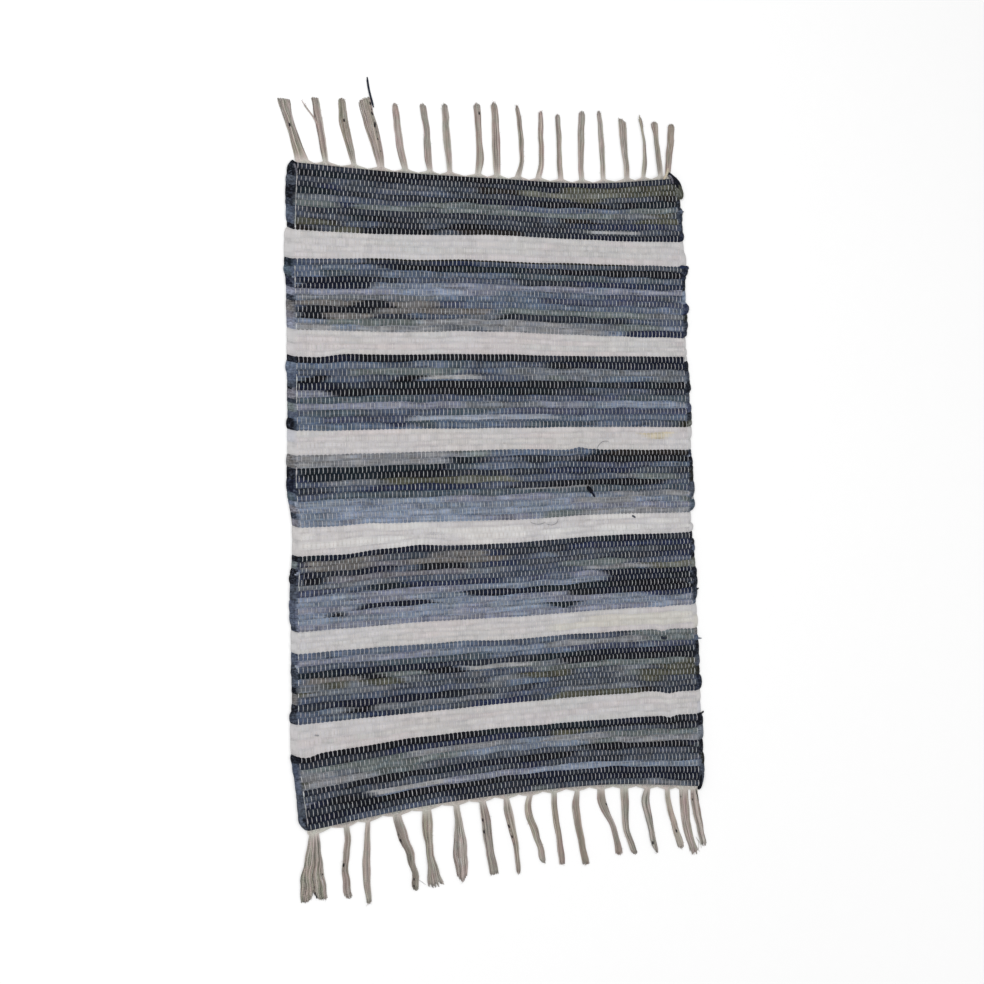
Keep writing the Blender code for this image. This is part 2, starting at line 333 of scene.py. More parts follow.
RIGHT_TURNS = (
    "ink 9 -1.6, olive/khaki 13 3.2, black 12 -0.4, slate/charcoal 6 3.2, charcoal/slate 8 1.6,"
    " charcoal 11 0.6, navy_black 9 1.8",
    "ecru 9 -0.4, ecru 14 2.6",
    "navy_black 10 5.0, navy_black/navy 4 1.4, black 11 -0.6, blue_grey 12 -0.6, navy 11 5.4,"
    " olive_black 8 1.8, charcoal 9 2.6, charcoal 7 0.6",
    "ecru 9 -2.6, ecru 7 -1.2",
    "ecru 4 -1.4, ink 10 0.6, graphite 11 2.0, black/mist 2 2.4, ink 10 3.6, graphite 10 0.4,"
    " indigo 8 2.8, ink 9 2.6, khaki/olive 6 2.8",
    "ecru 12 1.4, ecru 10 -0.8",
    "charcoal 5 -0.8, charcoal/mist 2 -0.4, ink 11 1.4, graphite 2 1.8, olive_black 12 1.6,"
    " graphite 15 3.6, ash/graphite 2 1.4, teal 14 4.4",
    "ecru 10 -3.0, ecru 10 0.4",
    "ink 6 -1.6, ink/black 8 1.4, slate/ink 7 1.8, ink 6 0.6, khaki 10 1.0, ink 9 3.2, black 12 3.8,"
    " charcoal 12 2.4, slate 5 -0.6",
    "ecru 8 0.4, oat 11 1.6",
    "taupe 7 0.2, slate 6 1.6, ink 13 2.0, graphite 11 2.6, olive_black 9 1.4, navy_black 15 4.6",
    "ecru 12 1.0, pale_grey 11 0.0",
    "ink 13 3.6, grey 15 3.4, ink 14 2.0, olive_black/graphite 13 3.6, graphite 12 3.6,"
    " black/charcoal 10 0.4",
)


# From and to which levels the outermost warp yarn at the left lies on top of the turns.
FLOATS = ((1.2, 10.6), (16, 20), (33.5, 38.2), (47.6, 51), (63.6, 66.5), (98, 103.4))


class Nudge(NamedTuple):
    """A place where the picks are pushed up or down: place across, level, rise and half its width."""
    x: float
    level: float
    rise: float
    width: float


NUDGES = (
    Nudge(-262, 31, -2.0, 22), Nudge(-222, 31, 1.8, 22), Nudge(118, 46, 3.4, 11),
    Nudge(140, 46, 1.0, 8), Nudge(247, 89, -2.6, 11), Nudge(247, 93, -3.4, 8),
    Nudge(210, 89, 1.2, 16), Nudge(-294, 93, -4.0, 13), Nudge(60, 15, -1.4, 30),
    Nudge(-120, 15, -2.0, 40), Nudge(-60, 27, 1.6, 30), Nudge(-235, 61, -2.4, 30),
    Nudge(-130, 61, 2.2, 25), Nudge(-200, 57, 1.6, 20), Nudge(-60, 78, 1.6, 28),
    Nudge(140, 78, -1.4, 28), Nudge(-150, 93, 1.6, 26), Nudge(30, 93, -1.4, 30),
    Nudge(240, 74, -1.5, 6), Nudge(240, 78, -3.0, 8), Nudge(245, 15, 1.2, 24),
)


class Cut(Enum):
    """How a tassel's tips were cut: slope, bow, point, fork and raggedness, as shares of its length."""
    FLAT = (0.0, 0.01, 0.0, 0.0, 0.008)
    ROUND = (0.0, 0.035, 0.0, 0.0, 0.012)
    POINTED = (0.0, 0.03, 0.06, 0.0, 0.015)
    FORKED = (0.0, 0.04, 0.0, 0.15, 0.012)
    RAGGED = (0.0, 0.01, 0.02, 0.01, 0.04)
    SLANT_LEFT = (-0.04, 0.02, 0.0, 0.0, 0.01)
    SLANT_RIGHT = (0.04, 0.02, 0.0, 0.0, 0.01)


TASSEL_MARKS = (0.0, 0.2, 0.6, 1.0)  # shares along a tassel: its root, near or waist, far or belly, tip


class Tassel(NamedTuple):
    """One tassel: its root, three sideways shifts, four widths, length, cut and waviness."""
    root: float
    near: float
    far: float
    tip: float
    neck: float
    waist: float
    belly: float
    brush: float
    length: float
    cut: Cut = Cut.ROUND
    wave: float = 0.3


TOP_TASSELS = (
    Tassel(-276, -5, -15, -22.5, 19, 15, 13, 18, 81, Cut.FLAT),
    Tassel(-243, -4, -9, -31, 2, 2.4, 2.4, 2, 82, Cut.POINTED),
    Tassel(-243, -2, -7, -12, 7, 10, 10, 11, 87, Cut.FLAT),
    Tassel(-203, -4, -12, -14, 6, 10, 13, 10, 90),
    Tassel(-165, -3, -12, -21, 9, 14, 18, 18, 94, Cut.SLANT_RIGHT),
    Tassel(-130, -4, -9, -12, 8, 10, 10, 8, 91),
    Tassel(-94, -2, -3, -8, 7, 10, 9, 10, 94),
    Tassel(-65, -1, -3, -4, 7, 9, 11, 9, 96),
    Tassel(-23, 4, 3, 2, 8, 11, 9, 11, 100),
    Tassel(6, 0, 0, -1, 9, 12, 11, 10, 103),
    Tassel(38, 6, 6, 2, 9, 6, 7, 6, 102, Cut.ROUND, 0.6),
    Tassel(69, 5, 6, 7, 9, 8, 8, 7, 96),
    Tassel(104, -1, -1, -2, 8, 8, 8, 8, 94),
    Tassel(137, -1, 1, 4, 8, 8, 11, 10, 100),
    Tassel(171, 0, -1, -3, 7, 8, 8, 7, 100),
    Tassel(209, 0, -3, -4, 8, 9, 11, 13, 87, Cut.SLANT_LEFT),
    Tassel(236, 3, 3, -3, 7, 8, 4, 6, 92, Cut.POINTED),
    Tassel(264, -1, -4, -7, 8, 9, 8, 12, 80),
    Tassel(276, 2, 6, 9, 9, 10, 12, 11, 77),
)
BOTTOM_TASSELS = (
    Tassel(-288, -1, -4, -2, 13, 19, 30, 38, 92, Cut.FORKED, 0.8),
    Tassel(-243, 1, -4, 0, 7, 8, 9, 11, 97, Cut.ROUND, 0.8),
    Tassel(-213, -2, -4, -2, 6, 8, 11, 7, 111),
    Tassel(-172, 5, 19, 25, 12, 14, 10, 10, 105, Cut.ROUND, 1.4),
    Tassel(-129, 0, 3, 10, 12, 15, 10, 24, 106, Cut.RAGGED, 0.8),
    Tassel(-86, 2, 4, 6, 8, 10, 21, 13, 107, Cut.POINTED, 0.6),
    Tassel(-48, 4, 8, 15, 9, 13, 12, 14, 104, Cut.FLAT),
    Tassel(-12, 3, 12, 15, 7, 13, 8, 6, 108),
    Tassel(24, -4, 8, 18, 8, 10, 10, 9, 97, Cut.ROUND, 0.8),
    Tassel(61, 0, 5, 9, 8, 9, 9, 10, 103, Cut.FLAT),
    Tassel(97, -3, 2, 10, 6, 11, 10, 11, 107, Cut.FLAT),
    Tassel(134, 1, 18, 26, 11, 13, 9, 12, 98),
    Tassel(171, 0, 1, 14, 12, 12, 10, 10, 97),
    Tassel(208, -4, 3, 10, 9, 13, 10, 8, 93, Cut.SLANT_RIGHT),
    Tassel(240, 1, 10, 20, 8, 8, 11, 11, 89),
    Tassel(267, 0, 4, 14, 14, 14, 14, 13, 95, Cut.RAGGED),
    Tassel(284, 1, 6, 13, 12, 13, 12, 10, 82, Cut.RAGGED),
)


# The flecks of dark lint in each tassel: their shares along it, and their places across from -1 to 1.
FLECKS = {
    ("top", 4): ((0.22, 0.6), (0.36, 0.8), (0.40, 0.6), (0.51, 0.8), (0.60, 0.6),
                 (0.63, 0.7), (0.78, 0.6), (0.84, 0.7), (0.93, 0.8)),
    ("top", 0): ((0.55, -0.3),),
    ("top", 3): ((0.55, 0.1), (0.66, 0.0)),
    ("top", 7): ((0.80, 0.0),),
    ("top", 8): ((0.86, 0.4),),
    ("bottom", 0): ((0.60, 0.9), (0.77, 0.05), (0.82, -0.03), (0.87, 0.16), (0.92, 0.24)),
    ("bottom", 1): ((0.52, -0.8), (0.60, -0.8)),
    ("bottom", 3): ((0.24, -0.9), (0.32, -0.9), (0.85, -0.6), (0.94, -0.5)),
    ("bottom", 6): ((0.24, -0.8), (0.40, -0.9), (0.50, -0.8)),
    ("bottom", 7): ((0.36, -0.8), (0.42, -0.9), (0.50, -0.9), (0.60, -0.9)),
    ("bottom", 11): ((0.22, 0.9),),
    ("bottom", 13): ((0.86, -0.6),),
    ("bottom", 14): ((0.70, 0.0),),
    ("bottom", 15): ((0.10, -0.9),),
    ("bottom", 16): ((0.06, -0.8), (0.16, -0.8)),
}


class Thread(NamedTuple):
    """A loose thread or shred that lies on the rug or the floor: cloth, half widths and points."""
    cloth: Cloth
    half_width: float
    half_height: float
    points: Array

    @classmethod
    def read(cls, text: str) -> "Thread":
        """Read a thread from its words in the tables."""
        head, path = text.split(":")
        name, half_width, half_height = head.split()
        points = np.array([[float(word) for word in point.split()] for point in path.split(",")])
        return cls(Cloth[name.upper()], float(half_width), float(half_height), points)


# Each thread's cloth, half its width and half its height, and then the points along it.
THREADS = (
    "grey 0.22 0.22: 37 -47.2 5.3, 44.6 -50.3 5.8, 52.3 -50.6 5.8, 60 -48 5.3",
    "graphite 0.22 0.22: 61.5 -50.9 5.3, 69.2 -52.6 5.8, 77 -50 5.8, 80.3 -44.3 5.2",
    "graphite 0.25 0.25: 144 54 5.0, 146 59 5.9, 151 64 6.1, 157 66 5.9, 163 65.5 5.6",
    "ash 0.22 0.2: -152 -526 1.4, -147 -531 0.6, -140 -536 0.4, -134 -541 0.5",
    "oat 0.35 0.3: 284 -520 1.2, 288 -527 0.7, 289 -535 0.5, 287 -541 0.4",
    "oat 0.35 0.3: 285 -522 1.6, 291 -530 0.8, 293 -538 0.5",
    "oat 0.3 0.25: 281 -524 1.6, 284 -532 0.8, 290 -543 0.5",
    "stain 2.0 1.0: 267.5 452 4.4, 271 457 5.2, 274 463 4.6, 276 469 3.4",
)
SHREDS = (
    "graphite 1.3 0.4: 196.5 -43.2 5.2, 199 -44.4 5.7, 202 -46.2 5.2",
    "ash 1.0 0.4: -284 -322.6 5.2, -281 -322.8 5.6, -278 -323.4 5.2",
    "charcoal 2.2 0.6: 237 -222.5 4.9, 240 -224 5.6, 243 -224.3 5.6, 246 -223 4.9",
    "charcoal 1.5 0.7: -173.2 531 2.6, -175.4 541 2.0, -178 553 1.2, -179.6 564 0.9, -180.3 573 0.8",
    "ink 3.0 1.0: 126.5 0.5 4.6, 129 -1.5 5.8, 132 -5 6.1, 134 -8.5 5.4",
    "navy_black 1.6 0.7: 131 -4 5.2, 134.5 -8.5 5.9, 138.5 -14.5 5.2",
    "mauve 1.8 0.9: 275.5 459 4.4, 279 456 5.3, 281.5 451 5.4, 282.5 446 5.2",
    "black 3.4 1.6: 273.5 463 2.8, 279 458.5 4.2, 285 453.5 4.8, 290.5 448.5 4.8, 294 442 4.2,"
    " 295.5 436 3.2",
    "ink 1.8 1.0: 279 453 4.6, 284 449 5.4, 289 444 5.6, 292 439 4.8",
    "olive 2.8 1.3: 288 447 4.4, 293 441.5 5.2, 296.2 435 5.0, 296.9 429 4.2, 295 424 3.0",
    "khaki 1.5 0.7: 285 441 5.2, 290 437.5 5.9, 294 432 5.8, 295.5 427 4.8",
    "mauve 1.4 0.6: -287.5 447 4.8, -286 443 5.5, -284.5 438 5.5, -284 434 5.2",
    "ink 3.0 1.4: 296.5 -429 4.2, 295.2 -437 4.8, 293 -444.5 4.4, 290.2 -450.5 3.0",
    "graphite 1.8 0.8: 298 -421 4.8, 297.6 -430 5.4, 295.6 -439 5.4, 293.6 -444 5.0",
    "olive_black 0.6 0.4: 286 -449 3.6, 286.5 -455 3.8, 288.5 -461 3.6, 289.5 -468 3.4",
    "navy 3.4 0.9: 289 322 4.4, 294 322 4.2, 299 321.5 3.4, 305 322.3 2.4",
    "black 1.0 0.5: 290 403.9 4.2, 295 404.6 3.6, 300.1 405.8 2.4",
    "black 1.3 0.5: 289.5 -157.9 4.4, 296 -156.7 3.6, 302.9 -154.1 2.2",
    "slate 0.9 0.4: 286.6 -228.8 4.6, 295 -227.8 4.0, 305 -228.4 2.0",
    "ink 1.4 0.5: 290.4 -342.8 4.4, 298.9 -339 3.4, 304 -336.5 2.4",
)


# -------- numbers and curves


def linear(colour: Colour) -> Array:
    """Turn a colour as seen, each channel to 255, into its three shares of light."""
    shares = np.asarray(colour, float) / 255
    return np.where(shares <= 0.04045, shares / 12.92, ((shares + 0.055) / 1.055) ** 2.4)


def curve(marks: Numbers, values: Numbers, places: Numbers) -> Array:
    """Read a smooth curve through values that stand at rising marks.

    Args:
        marks: where the values stand.
        values: one value for each mark.
        places: where to read the curve. Past its ends it stays level.

    Returns:
        The curve's value at each place.
    """
    marks = np.asarray(marks, float)
    values = np.asarray(values, float)
    order = np.arange(len(marks))
    low = np.maximum(order - 1, 0)
    high = np.minimum(order + 1, len(marks) - 1)
    slopes = (values[high] - values[low]) / (marks[high] - marks[low])
    places = np.clip(places, marks[0], marks[-1])
    step = np.clip(np.searchsorted(marks, places, side="right") - 1, 0, len(marks) - 2)
    span = marks[step + 1] - marks[step]
    t = (places - marks[step]) / span
    ends = values[step] * (1 + 2 * t) * (1 - t) ** 2 + values[step + 1] * t * t * (3 - 2 * t)
    bends = span * t * (1 - t) * (slopes[step] * (1 - t) - slopes[step + 1] * t)
    return ends + bends


@dataclass
class Drift:
    """Slow random change over a surface: a table of random numbers, read smoothly between them."""
    seed: Seed
    rows: int
    columns: int
    table: Array = field(init=False)

    def __post_init__(self) -> None:
        """Draw the table's numbers."""
        self.table = np.random.default_rng(self.seed).uniform(-1, 1, (self.rows, self.columns))

    def at(self, row: Numbers, column: Numbers) -> Array:
        """Read the table.

        Args:
            row: places down the table, which are joined by straight lines.
            column: places along the table, which are joined by soft steps.

        Returns:
            A number from -1 to 1 for each place.
        """
        row, column = np.broadcast_arrays(row, column)
        row = np.clip(row, 0, self.rows - 1.001)
        column = np.clip(column, 0, self.columns - 1.001)
        r, c = row.astype(int), column.astype(int)
        down, along = row - r, column - c
        along = along * along * (3 - 2 * along)
        upper = self.table[r, c] * (1 - along) + self.table[r, c + 1] * along
        below = np.minimum(r + 1, self.rows - 1)
        lower = self.table[below, c] * (1 - along) + self.table[below, c + 1] * along
        return upper * (1 - down) + lower * down


@dataclass
class Layout:
    """Where the rug's picks, side edges and warp yarns lie, in millimetres."""
    half_width: float = 300.0
    warps: int = 196
    left_turn_marks: tuple[float, ...] = (45, 80, 96, 104)
    left_turn_widths: tuple[float, ...] = (12.5, 9.0, 9.0, 12.5)
    right_turn: float = 8.0
    wobble: float = 1.4
    wobble_pitch: float = 34.0
    line_wobble: float = 0.4
    nudge_levels: float = 2.5
    sway: float = 0.3
    sway_pitch: float = 7.0
    wobbles: Drift = field(init=False)
    sways: Drift = field(init=False)

    def __post_init__(self) -> None:
        """Draw the unevenness of the picks and of the warp."""
        self.wobbles = Drift(Seed.WOBBLES, self.picks + 1, 20)
        self.sways = Drift(Seed.SWAYS, self.warps + 2, int(self.picks / self.sway_pitch) + 3)

    @property
    def picks(self) -> int:
        """Number of picks of rag."""
        return sum(line.picks for line in LINES)

    def heights(self, levels: Numbers, x: Numbers) -> Array:
        """Height up the rug of each level at each place across it.

        Args:
            levels: levels, which may lie a little past the ends.
            x: places across the rug.

        Returns:
            The heights, in the shape that levels and x make together.
        """
        levels, x = np.broadcast_arrays(np.asarray(levels, float), x)
        starts = np.cumsum([line.picks for line in LINES])
        quarter = self.half_width / 2
        marks = np.arange(-2, 3) * quarter
        lines = np.stack([curve(marks, line[1:], x) for line in LINES])
        step = np.clip(np.searchsorted(starts, levels, side="right") - 1, 0, len(LINES) - 2)
        share = (levels - starts[step]) / (starts[step + 1] - starts[step])
        upper = np.take_along_axis(lines, step[None], 0)[0]
        lower = np.take_along_axis(lines, step[None] + 1, 0)[0]
        inside = np.clip(levels, 0, self.picks - levels.clip(0, self.picks)).clip(0, 1)
        uneven = self.wobbles.at(levels, (x + self.half_width + 20) / self.wobble_pitch)
        at_line = np.abs(levels[..., None] - starts).min(-1).clip(0, 1)
        rise = self.wobble * uneven * (self.line_wobble + (1 - self.line_wobble) * at_line)
        for nudge in NUDGES:
            near = np.exp(-((x - nudge.x) / nudge.width) ** 2)
            beside = (1 - np.abs(levels - nudge.level) / self.nudge_levels).clip(0)
            rise = rise + nudge.rise * near * beside
        return upper + (lower - upper) * share + rise * inside

    def edges(self, levels: Array) -> tuple[Array, Array]:
        """Side edges of the rug at each level, without the turns.

        Args:
            levels: levels down the rug.

        Returns:
            The left and the right edge's places across the rug.
        """
        marks = [-side.height for side in SIDES]
        at_left = -self.heights(levels, -self.half_width)
        at_right = -self.heights(levels, self.half_width)
        left = curve(marks, [side.left for side in SIDES], at_left)
        right = curve(marks, [side.right for side in SIDES], at_right)
        return left, right

    def left_turn(self, levels: Numbers) -> Array:
        """How wide the turns at the left edge are at each level."""
        return np.interp(levels, self.left_turn_marks, self.left_turn_widths)

    def warp_places(self, levels: Array, numbers: Array) -> Array:
        """Places of warp yarns across the rug.

        Args:
            levels: levels down the rug, as a column.
            numbers: the yarns' numbers from the left, as a row.

        Returns:
            A place for each level and yarn.
        """
        left, right = self.edges(levels)
        first = left + self.left_turn(levels)
        pitch = (right - self.right_turn - first) / (self.warps - 1)
        sway = self.sway * self.sways.at(numbers + 1, levels / self.sway_pitch)
        return first + pitch * numbers + sway

    def world(self, points: Array) -> Array:
        """Points in metres in the model's frame, from points in the tables' millimetres."""
        return (np.asarray(points, float) + (BODY_MIDDLE[0], BODY_MIDDLE[1], 0)) * MM


# -------- meshes from arrays


@dataclass
class MeshParts:
    """Points, faces and what they carry, gathered for one joined mesh."""
    points: list[Array] = field(default_factory=list)
    faces: list[Array] = field(default_factory=list)
    maps: list[Array] = field(default_factory=list)
    turns: list[Array] = field(default_factory=list)
    colours: list[Array] = field(default_factory=list)
    numbers: list[Array] = field(default_factory=list)
    count: int = 0

    def add_points(self, points: Array) -> int:
        """Take in points and return the number of the first."""
        first = self.count
        self.points.append(points)
        self.count += len(points)
        return first

    def add_faces(self, corners: Array, places: Array, colours: Array,
                  numbers: Array, turns: Array | None = None) -> None:
        """Take in faces that all have the same number of corners.

        Args:
            corners: the points' numbers, a row for each face.
            places: each corner's place on the bake's map.
            colours: each corner's colour.
            numbers: each corner's rag number.
            turns: each corner's place round and along its yarn.
        """
        self.faces.append(corners)
        self.maps.append(places.reshape(-1, 2))
        self.colours.append(colours.reshape(-1, 3))
        self.numbers.append(numbers.reshape(-1))
        self.turns.append((places if turns is None else turns).reshape(-1, 2))

    def build(self, name: str, colour_name: str, material: Material) -> Piece:
        """Make the joined, smoothly shaded object.

        Args:
            name: the object's name.
            colour_name: name of the colours that its material reads.
            material: its finish.

        Returns:
            The object, linked to the scene.
        """
        mesh = bpy.data.meshes.new(name)
        points = np.concatenate(self.points)
        corners = np.concatenate([faces.reshape(-1) for faces in self.faces])
        sizes = np.concatenate([np.full(len(faces), faces.shape[1]) for faces in self.faces])
        mesh.vertices.add(len(points))
        mesh.vertices.foreach_set("co", points.astype(np.float32).ravel())
        mesh.loops.add(len(corners))
        mesh.loops.foreach_set("vertex_index", corners.astype(np.int32))
        mesh.polygons.add(len(sizes))
        starts = np.concatenate([[0], np.cumsum(sizes)[:-1]])
        mesh.polygons.foreach_set("loop_start", starts.astype(np.int32))
        mesh.polygons.foreach_set("use_smooth", np.ones(len(sizes), bool))
        mesh.update(calc_edges=True)
        for map_name, places in ((BAKE_MAP, self.maps), (YARN_MAP, self.turns)):
            layer = mesh.uv_layers.new(name=map_name)
            layer.uv.foreach_set("vector", np.concatenate(places).astype(np.float32).ravel())
        mesh.uv_layers.active_index = 0
        colours = np.concatenate(self.colours)
        colours = np.column_stack([colours, np.ones(len(colours))]).astype(np.float32)
        attribute = mesh.color_attributes.new(colour_name, "FLOAT_COLOR", "CORNER")
        attribute.data.foreach_set("color", colours.ravel())
        number = mesh.attributes.new(RAG_NUMBER, "FLOAT", "CORNER")
        number.data.foreach_set("value", np.concatenate(self.numbers).astype(np.float32))
        mesh.validate()
        mesh.materials.append(material)
        piece = bpy.data.objects.new(name, mesh)
        bpy.context.scene.collection.objects.link(piece)
        return piece


@dataclass
class YarnBundle:
    """Yarns with an oval section, gathered for one joined mesh."""
    sides: int
    rows: int
    per_row: int
    parts: MeshParts = field(default_factory=MeshParts)
    made: int = 0

    def add(self, path: Array, half_width: Array, half_height: Array,
            colours: Array) -> None:
        """Add one closed yarn.

        Args:
            path: the points that its middle follows, in metres.
            half_width: half its width at each point.
            half_height: half its height at each point.
            colours: its colour at each point.
        """
        ahead = np.gradient(path, axis=0)
        across = np.column_stack([ahead[:, 1], -ahead[:, 0], np.zeros(len(path))])
        across /= np.linalg.norm(across, axis=1, keepdims=True)
        up = np.cross(across, ahead)
        up /= np.linalg.norm(up, axis=1, keepdims=True)
        angles = 2 * np.pi * np.arange(self.sides) / self.sides
        rings = (path[:, None]
                 + across[:, None] * (half_width[:, None] * np.cos(angles))[..., None]
                 + up[:, None] * (half_height[:, None] * np.sin(angles))[..., None])
        first = self.parts.add_points(np.concatenate([rings.reshape(-1, 3), path[[0, -1]]]))
        along = np.concatenate([[0], np.cumsum(np.linalg.norm(np.diff(path, axis=0), axis=1))])
        self._add_skin(first, len(path), along, colours)
        self.made += 1

    def _add_skin(self, first: int, stations: int, along: Array, colours: Array) -> None:
        """Add a yarn's faces.

        Args:
            first: number of its first point.
            stations: number of rings of points.
            along: how far along the yarn each ring is, in metres.
            colours: colour of each ring.
        """
        ring, side = np.meshgrid(np.arange(stations - 1), np.arange(self.sides), indexing="ij")
        ring, side = ring.ravel(), side.ravel()
        rings = np.stack([ring, ring, ring + 1, ring + 1], 1)
        turns = np.stack([side, side + 1, side + 1, side], 1)
        corners = first + rings * self.sides + turns % self.sides
        share = along[rings] / along[-1]
        number = np.full(corners.shape, float(self.made))
        self.parts.add_faces(corners, self._map_places(turns, share), colours[rings], number,
                             np.stack([turns / self.sides, along[rings]], -1))
        for end, tip, past in ((0, first + stations * self.sides, -0.02),
                               (stations - 1, first + stations * self.sides + 1, 1.02)):
            side = np.arange(self.sides)
            turns = np.stack([side, side + 1, side + 0.5], 1)
            ring_points = first + end * self.sides + turns[:, :2].astype(int) % self.sides
            corners = np.column_stack([ring_points, np.full(self.sides, tip)])
            if end == 0:
                corners, turns = corners[:, [1, 0, 2]], turns[:, [1, 0, 2]]
            share = np.tile([float(end > 0), float(end > 0), past], (self.sides, 1))
            self.parts.add_faces(
                corners, self._map_places(turns, share), np.tile(colours[end], (*corners.shape, 1)),
                np.full(corners.shape, float(self.made)),
                np.stack([turns / self.sides, np.full(turns.shape, along[end])], -1))

    def _map_places(self, turns: Array, share: Array) -> Array:
        """Places on the bake's map for corners of the yarn that is being added.

        Args:
            turns: sides round the yarn.
            share: shares along the yarn.

        Returns:
            The corners' places, in the yarn's own narrow strip of the map.
        """
        column = self.made % self.per_row
        row = self.made // self.per_row
        across = (column + 0.08 + 0.84 * turns / self.sides) / self.per_row
        up = (row + 0.05 + 0.9 * share) / self.rows
        return np.stack([across, up], -1)


# -------- finishes


class Noise(NamedTuple):
    """A noise over a piece: its scale along each axis, and how many finer noises are laid over it."""
    scale: Triple
    detail: float


class ShaderTree:
    """A material's nodes, made by short calls."""
    noise_span = (0.3, 0.7)  # nearly all of a noise lies between these
    noise_roughness = 0.55
    specular = 0.1
    sheen_roughness = 0.6

    def __init__(self, name: str) -> None:
        """Start a material under a name, with its Principled shader alone."""
        self.material = bpy.data.materials.new(name)
        self.material.use_nodes = True
        self.nodes = self.material.node_tree.nodes
        self.shader = self.nodes["Principled BSDF"]

    def link(self, source: Socket, target: Socket) -> None:
        """Link one socket to another."""
        self.material.node_tree.links.new(source, target)

    def add(self, kind: str, **settings: object) -> bpy.types.Node:
        """Add a node and give it its settings."""
        node = self.nodes.new(kind)
        for name, value in settings.items():
            setattr(node, name, value)
        return node

    def feed(self, socket: Socket, value: Value) -> None:
        """Link a socket, or set a number or colour on it."""
        if isinstance(value, Socket):
            self.link(value, socket)
        else:
            socket.default_value = value

    def attribute(self, name: str, output: str) -> Socket:
        """Read one output of an attribute of the mesh."""
        return self.add("ShaderNodeAttribute", attribute_name=name).outputs[output]

    def noise(self, noise: Noise, number: Value = 0.0) -> Socket:
        """Read a noise over the piece's own coordinates.

        Args:
            noise: its scale and detail.
            number: a fourth coordinate, which keeps one rag's noise apart from the next one's.

        Returns:
            The noise.
        """
        mapping = self.add("ShaderNodeMapping")
        self.link(self.add("ShaderNodeTexCoord").outputs["Object"], mapping.inputs["Vector"])
        mapping.inputs["Scale"].default_value = noise.scale
        node = self.add("ShaderNodeTexNoise", noise_dimensions="4D")
        self.link(mapping.outputs["Vector"], node.inputs["Vector"])
        self.feed(node.inputs["W"], number)
        node.inputs["Scale"].default_value = 1.0
        node.inputs["Detail"].default_value = noise.detail
        node.inputs["Roughness"].default_value = self.noise_roughness
        return node.outputs["Fac"]

    def math(self, operation: str, first: Value, second: Value = 0.0) -> Socket:
        """Work out one sum on two numbers or sockets."""
        node = self.add("ShaderNodeMath", operation=operation)
        self.feed(node.inputs[0], first)
        self.feed(node.inputs[1], second)
        return node.outputs[0]

    def ranged(self, value: Socket, span: Pair, start: float, end: float) -> Socket:
        """Carry a number from one range to another.

        Args:
            value: the number.
            span: the values that give start and end.
            start: start of the new range.
            end: end of the new range.

        Returns:
            The number in its new range, kept inside it.
        """
        node = self.add("ShaderNodeMapRange")
        for name, number in zip(("From Min", "From Max", "To Min", "To Max"), (*span, start, end)):
            node.inputs[name].default_value = number
        self.link(value, node.inputs["Value"])
        return node.outputs["Result"]

    def swing(self, noise: Socket, amount: float) -> Socket:
        """Turn a noise into a factor that swings about 1 by an amount."""
        return self.ranged(noise, self.noise_span, 1 - amount, 1 + amount)

    def scaled(self, colour: Socket, *factors: Socket) -> Socket:
        """Multiply a colour by each of several numbers."""
        for factor in factors:
            node = self.add("ShaderNodeVectorMath", operation="SCALE")
            self.link(colour, node.inputs[0])
            self.link(factor, node.inputs["Scale"])
            colour = node.outputs[0]
        return colour

    def dyed(self, colour: Socket, dye: Value) -> Socket:
        """Multiply a colour by another."""
        node = self.add("ShaderNodeVectorMath", operation="MULTIPLY")
        self.link(colour, node.inputs[0])
        self.feed(node.inputs[1], dye)
        return node.outputs[0]

    def mixed(self, share: Value, first: Value, second: Value) -> Socket:
        """Mix two colours.

        Args:
            share: how much of the second colour there is.
            first: the first colour.
            second: the second colour.

        Returns:
            The mixed colour.
        """
        node = self.add("ShaderNodeMix", data_type="RGBA")
        for place, value in ((0, share), (6, first), (7, second)):
            self.feed(node.inputs[place], value)
        return node.outputs[2]

    def bump(self, *layers: tuple[Socket, float]) -> None:
        """Lay bumps over each other: each has its height and its depth in metres."""
        normal = None
        for height, depth in layers:
            node = self.add("ShaderNodeBump")
            node.inputs["Distance"].default_value = depth
            self.link(height, node.inputs["Height"])
            if normal is not None:
                self.link(normal, node.inputs["Normal"])
            normal = node.outputs["Normal"]
        self.link(normal, self.shader.inputs["Normal"])

    def matte(self, colour: Socket, roughness: float, sheen: float) -> None:
        """Give the shader its colour, how dull it is, and how much its fuzz shines."""
        self.link(colour, self.shader.inputs["Base Color"])
        self.shader.inputs["Roughness"].default_value = roughness
        self.shader.inputs["Specular IOR Level"].default_value = self.specular
        self.shader.inputs["Sheen Weight"].default_value = sheen
        self.shader.inputs["Sheen Roughness"].default_value = self.sheen_roughness


